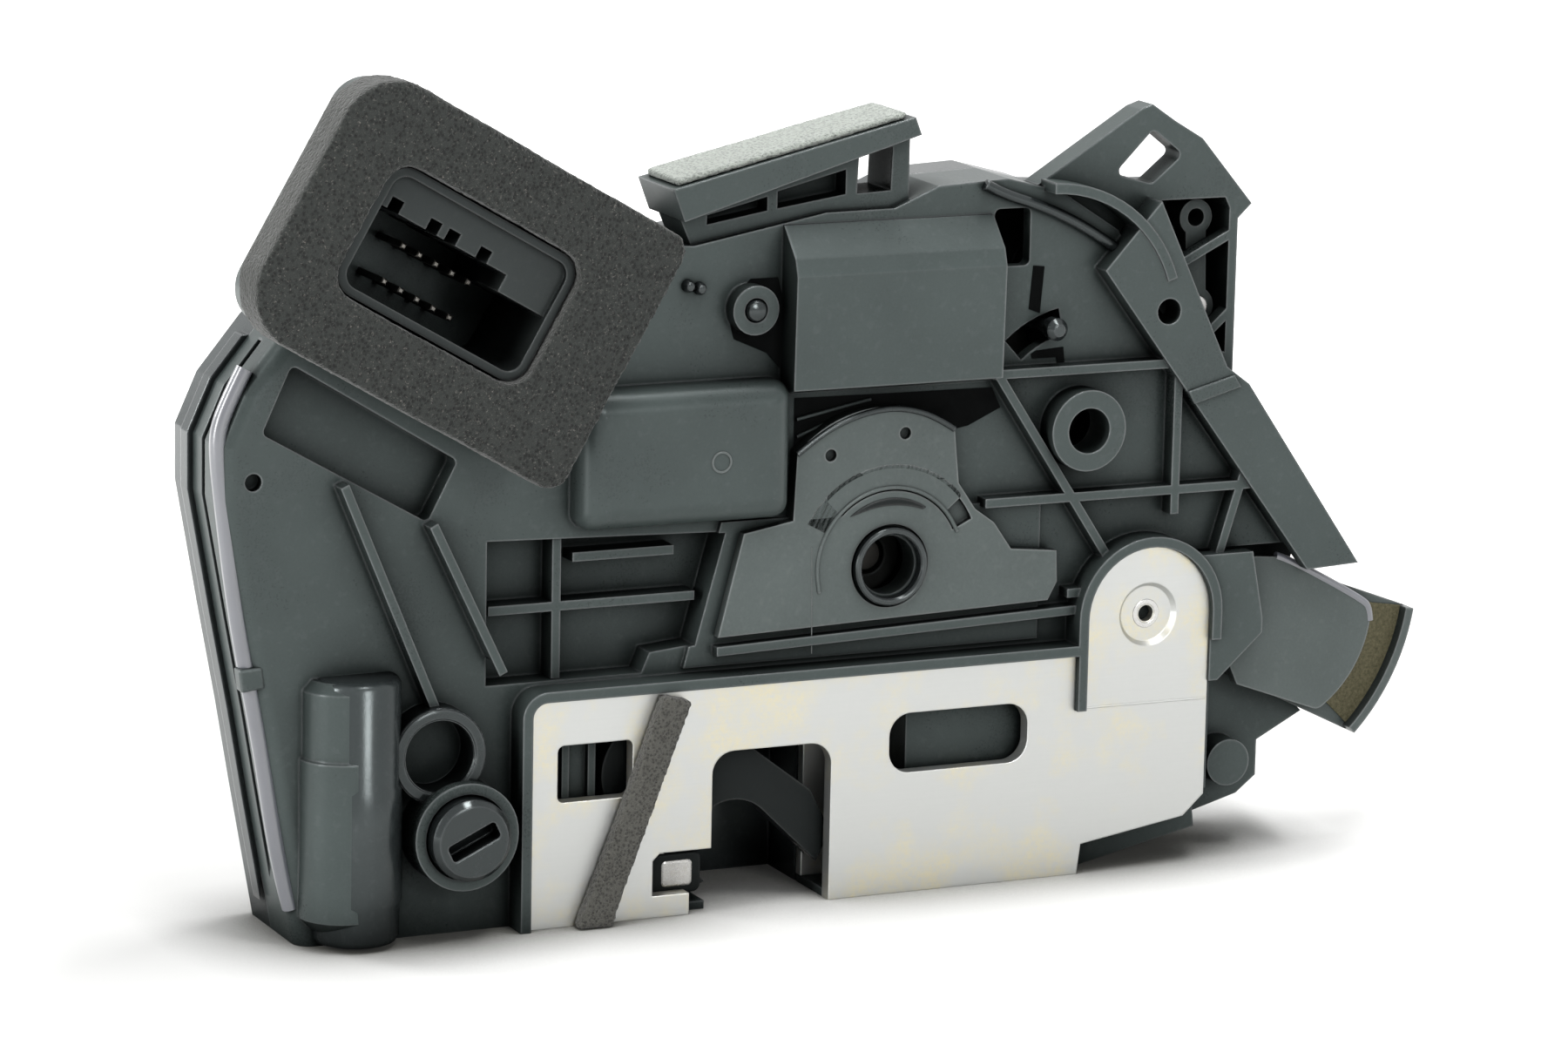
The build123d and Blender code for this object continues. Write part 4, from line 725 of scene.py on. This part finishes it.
slot_outline = [(37.3, 66.4), (65.6, 66.1), (66.9, 63.4), (62.3, 61.3), (39.9, 57.6), (37.4, 58.7)]
shade_sheet("cover_pocket", slot_outline)
bead("pocket_rib_upper", "housing_plastic", [(37.5, 63.7), (48.0, 65.7)], RIB_DEPTH, RIB_RADIUS)
bead("pocket_rib_lower", "housing_plastic", [(37.6, 61.4), (43.7, 63.7)], RIB_DEPTH, RIB_RADIUS)
shade_sheet("lever_channel", [(71.2, 81.9), (72.8, 81.7), (72.3, 75.6), (70.7, 76.2)])
foot_outline = [
    (71.2, 70.2), (71.9, 70.6), (75.9, 70.9), (76.2, 68.4), (75.2, 68.3), (74.9, 69.6), (71.4, 69.6),
]
shade_sheet("lever_channel_foot", foot_outline)
well_outline = [
    (30.8, 82.3), (34.6, 82.3), (35.4, 79.3), (36.0, 69.5), (33.2, 72.6), (28.6, 74.6), (27.4, 79.0),
]
shade_sheet("screw_well", well_outline)
print("pockets: 4 inlays and 2 ribs")

# %% [markdown]
# Glossy lips and heads catch the lamps: the round lip above the ball, the screw in its boss, two clip noses
# beside the foam and the band across the long beam. The heads are domes from the lathe, because a flat disc
# would flash all at once or not at all.

# %% Lips and heads
lip_points = [
    (63.6, 93.0), (66.4, 91.6), (71.7, 89.9), (77.5, 87.2), (82.7, 83.9), (86.7, 80.9), (88.6, 78.0),
]
bead("round_lip", "knob_plastic", lip_points, depth=2.4, radius=0.75)
screw_section = [(0, -0.2), (0.7, -0.16), (1.2, 0.05), (1.42, 0.45), (1.42, 2.2)]
turned("boss_screw", "knob_plastic", (30.6, 78.6), screw_section)
nose_section = [(0, 1.7), (0.5, 1.8), (0.8, 2.3), (0.85, 3.0)]
for i, nose_place in enumerate(((22.0, 81.9), (23.6, 81.5))):
    turned(f"clip_nose_{i}", "knob_plastic", nose_place, nose_section, steps=20)
beam_outline = [(93.0, 64.5), (99.9, 66.3), (101.0, 64.6), (94.0, 62.7)]
cut_out("beam_band", "housing_plastic", beam_outline, front=-0.35, back=0.2)
print("lips and heads: 5 pieces")

# %% [markdown]
# Where the tool closes, the rim of the left flange and the edge of the cable quadrant are polished round
# and mirror a whole window, so they look pale although the plastic is black. Here that reflection is
# painted: a paler colour under a strong clear coat gives it under any lamp, and a black gloss alone would
# not. A clip block holds the flange.

# %% Rims with a painted reflection
# Painted reflection: the lip's pale colour stands for a window mirrored in polished black plastic.
lip_reflection = Finish("lip_painted_reflection", Roughness=0.30, Coat_Weight=1.0, Coat_Roughness=0.30, Coat_IOR=1.75)
lip_reflection.paint("Base Color", lip_reflection.blend(lip_reflection.mottle(9.0), (0.085, 0.090, 0.104), (0.120, 0.126, 0.144)))
flange_run = [
    (-36.8, 74.4), (-38.8, 70.6), (-40.2, 67.1), (-40.3, 64.1), (-39.9, 59.4), (-37.7, 42.1), (-34.8, 27.8),
    (-32.1, 10.5), (-30.5, 4.9),
]
bead("flange_bead", "housing_plastic", flange_run, depth=4.6, radius=1.1, finish=lip_reflection.material)
clip_outline = [(-38.0, 36.6), (-34.9, 36.8), (-34.5, 34.0), (-37.6, 33.6)]
cut_out("flange_clip", "housing_plastic", clip_outline, front=3.0, back=5.2, broken=0.3)
quadrant_run = [(108.8, 40.6), (110.2, 40.3), (122.4, 33.6), (123.6, 32.2), (123.7, 30.6)]
bead("quadrant_edge", "lever_plastic", quadrant_run, depth=2.75, radius=0.55, body="quadrant_body",
     finish=lip_reflection.material)
print("polished rims: 2 beads and a clip")

# %% [markdown]
# The barrel at the lower left wears a sleeve with a narrower neck and foot. It could be a stack of
# cylinders, but turned from one half section, listed from the top down, each step gets its own soft edge.

# %% Damper barrel
barrel_section = [
    (4.6, 34.9), (5.3, 34.6), (5.7, 34.0), (5.7, 21.2), (5.95, 20.7), (5.95, 6.0), (5.7, 5.5), (5.6, 1.4),
    (5.2, 0.7), (4.6, 0.5),
]
turned("damper_barrel", "cover_plastic", (-22.6, 2.7), barrel_section, upright=True)
print("barrel: 1 piece")

# %% [markdown]
# The steel plate is bent slightly where the tab begins, and the press leaves a faint ridge along that line.
# Round the tab's hole the punch has burnished a bright ring. The ridge is a bead sunk to its crown and the
# ring is turned, so both are there in the shape and not only in the shading.

# %% Plate details
bead("tab_crease", "zinc_plate", [(79.4, 22.7), (97.3, 22.6)], depth=0.02, radius=0.16)
turned("tab_ring", "bright_steel", (88.25, 34.7), [(2.0, 0.78), (1.9, 0.62), (1.3, 0.62), (1.15, 0.9)])
print("plate details: 2 pieces")

# %% [markdown]
# The cable quadrant carries a soft olive liner between its face and its flange, where the cable beds in.
# Its fibres are a fine noise that tints the colour and lifts the surface a little.

# %% Quadrant liner
olive = Finish("liner_olive", Roughness=0.75, Specular_IOR_Level=0.3)
fibre = olive.mottle(0.5, detail=3.0, roughness=0.7)
olive.paint("Base Color", olive.blend(fibre.ramp(0.35, 0.7), (0.050, 0.045, 0.022), (0.115, 0.105, 0.060)))
olive.relief(fibre, 0.05)
liner = band((101.6, 36.0), inner=22.7, outer=29.3, start=-44, end=-9)
cut_out("quadrant_liner", "strip_foam", liner, front=6.0, back=6.3, body="quadrant_body", broken=0.08,
        finish=olive.material)
print("quadrant liner: 1 piece")
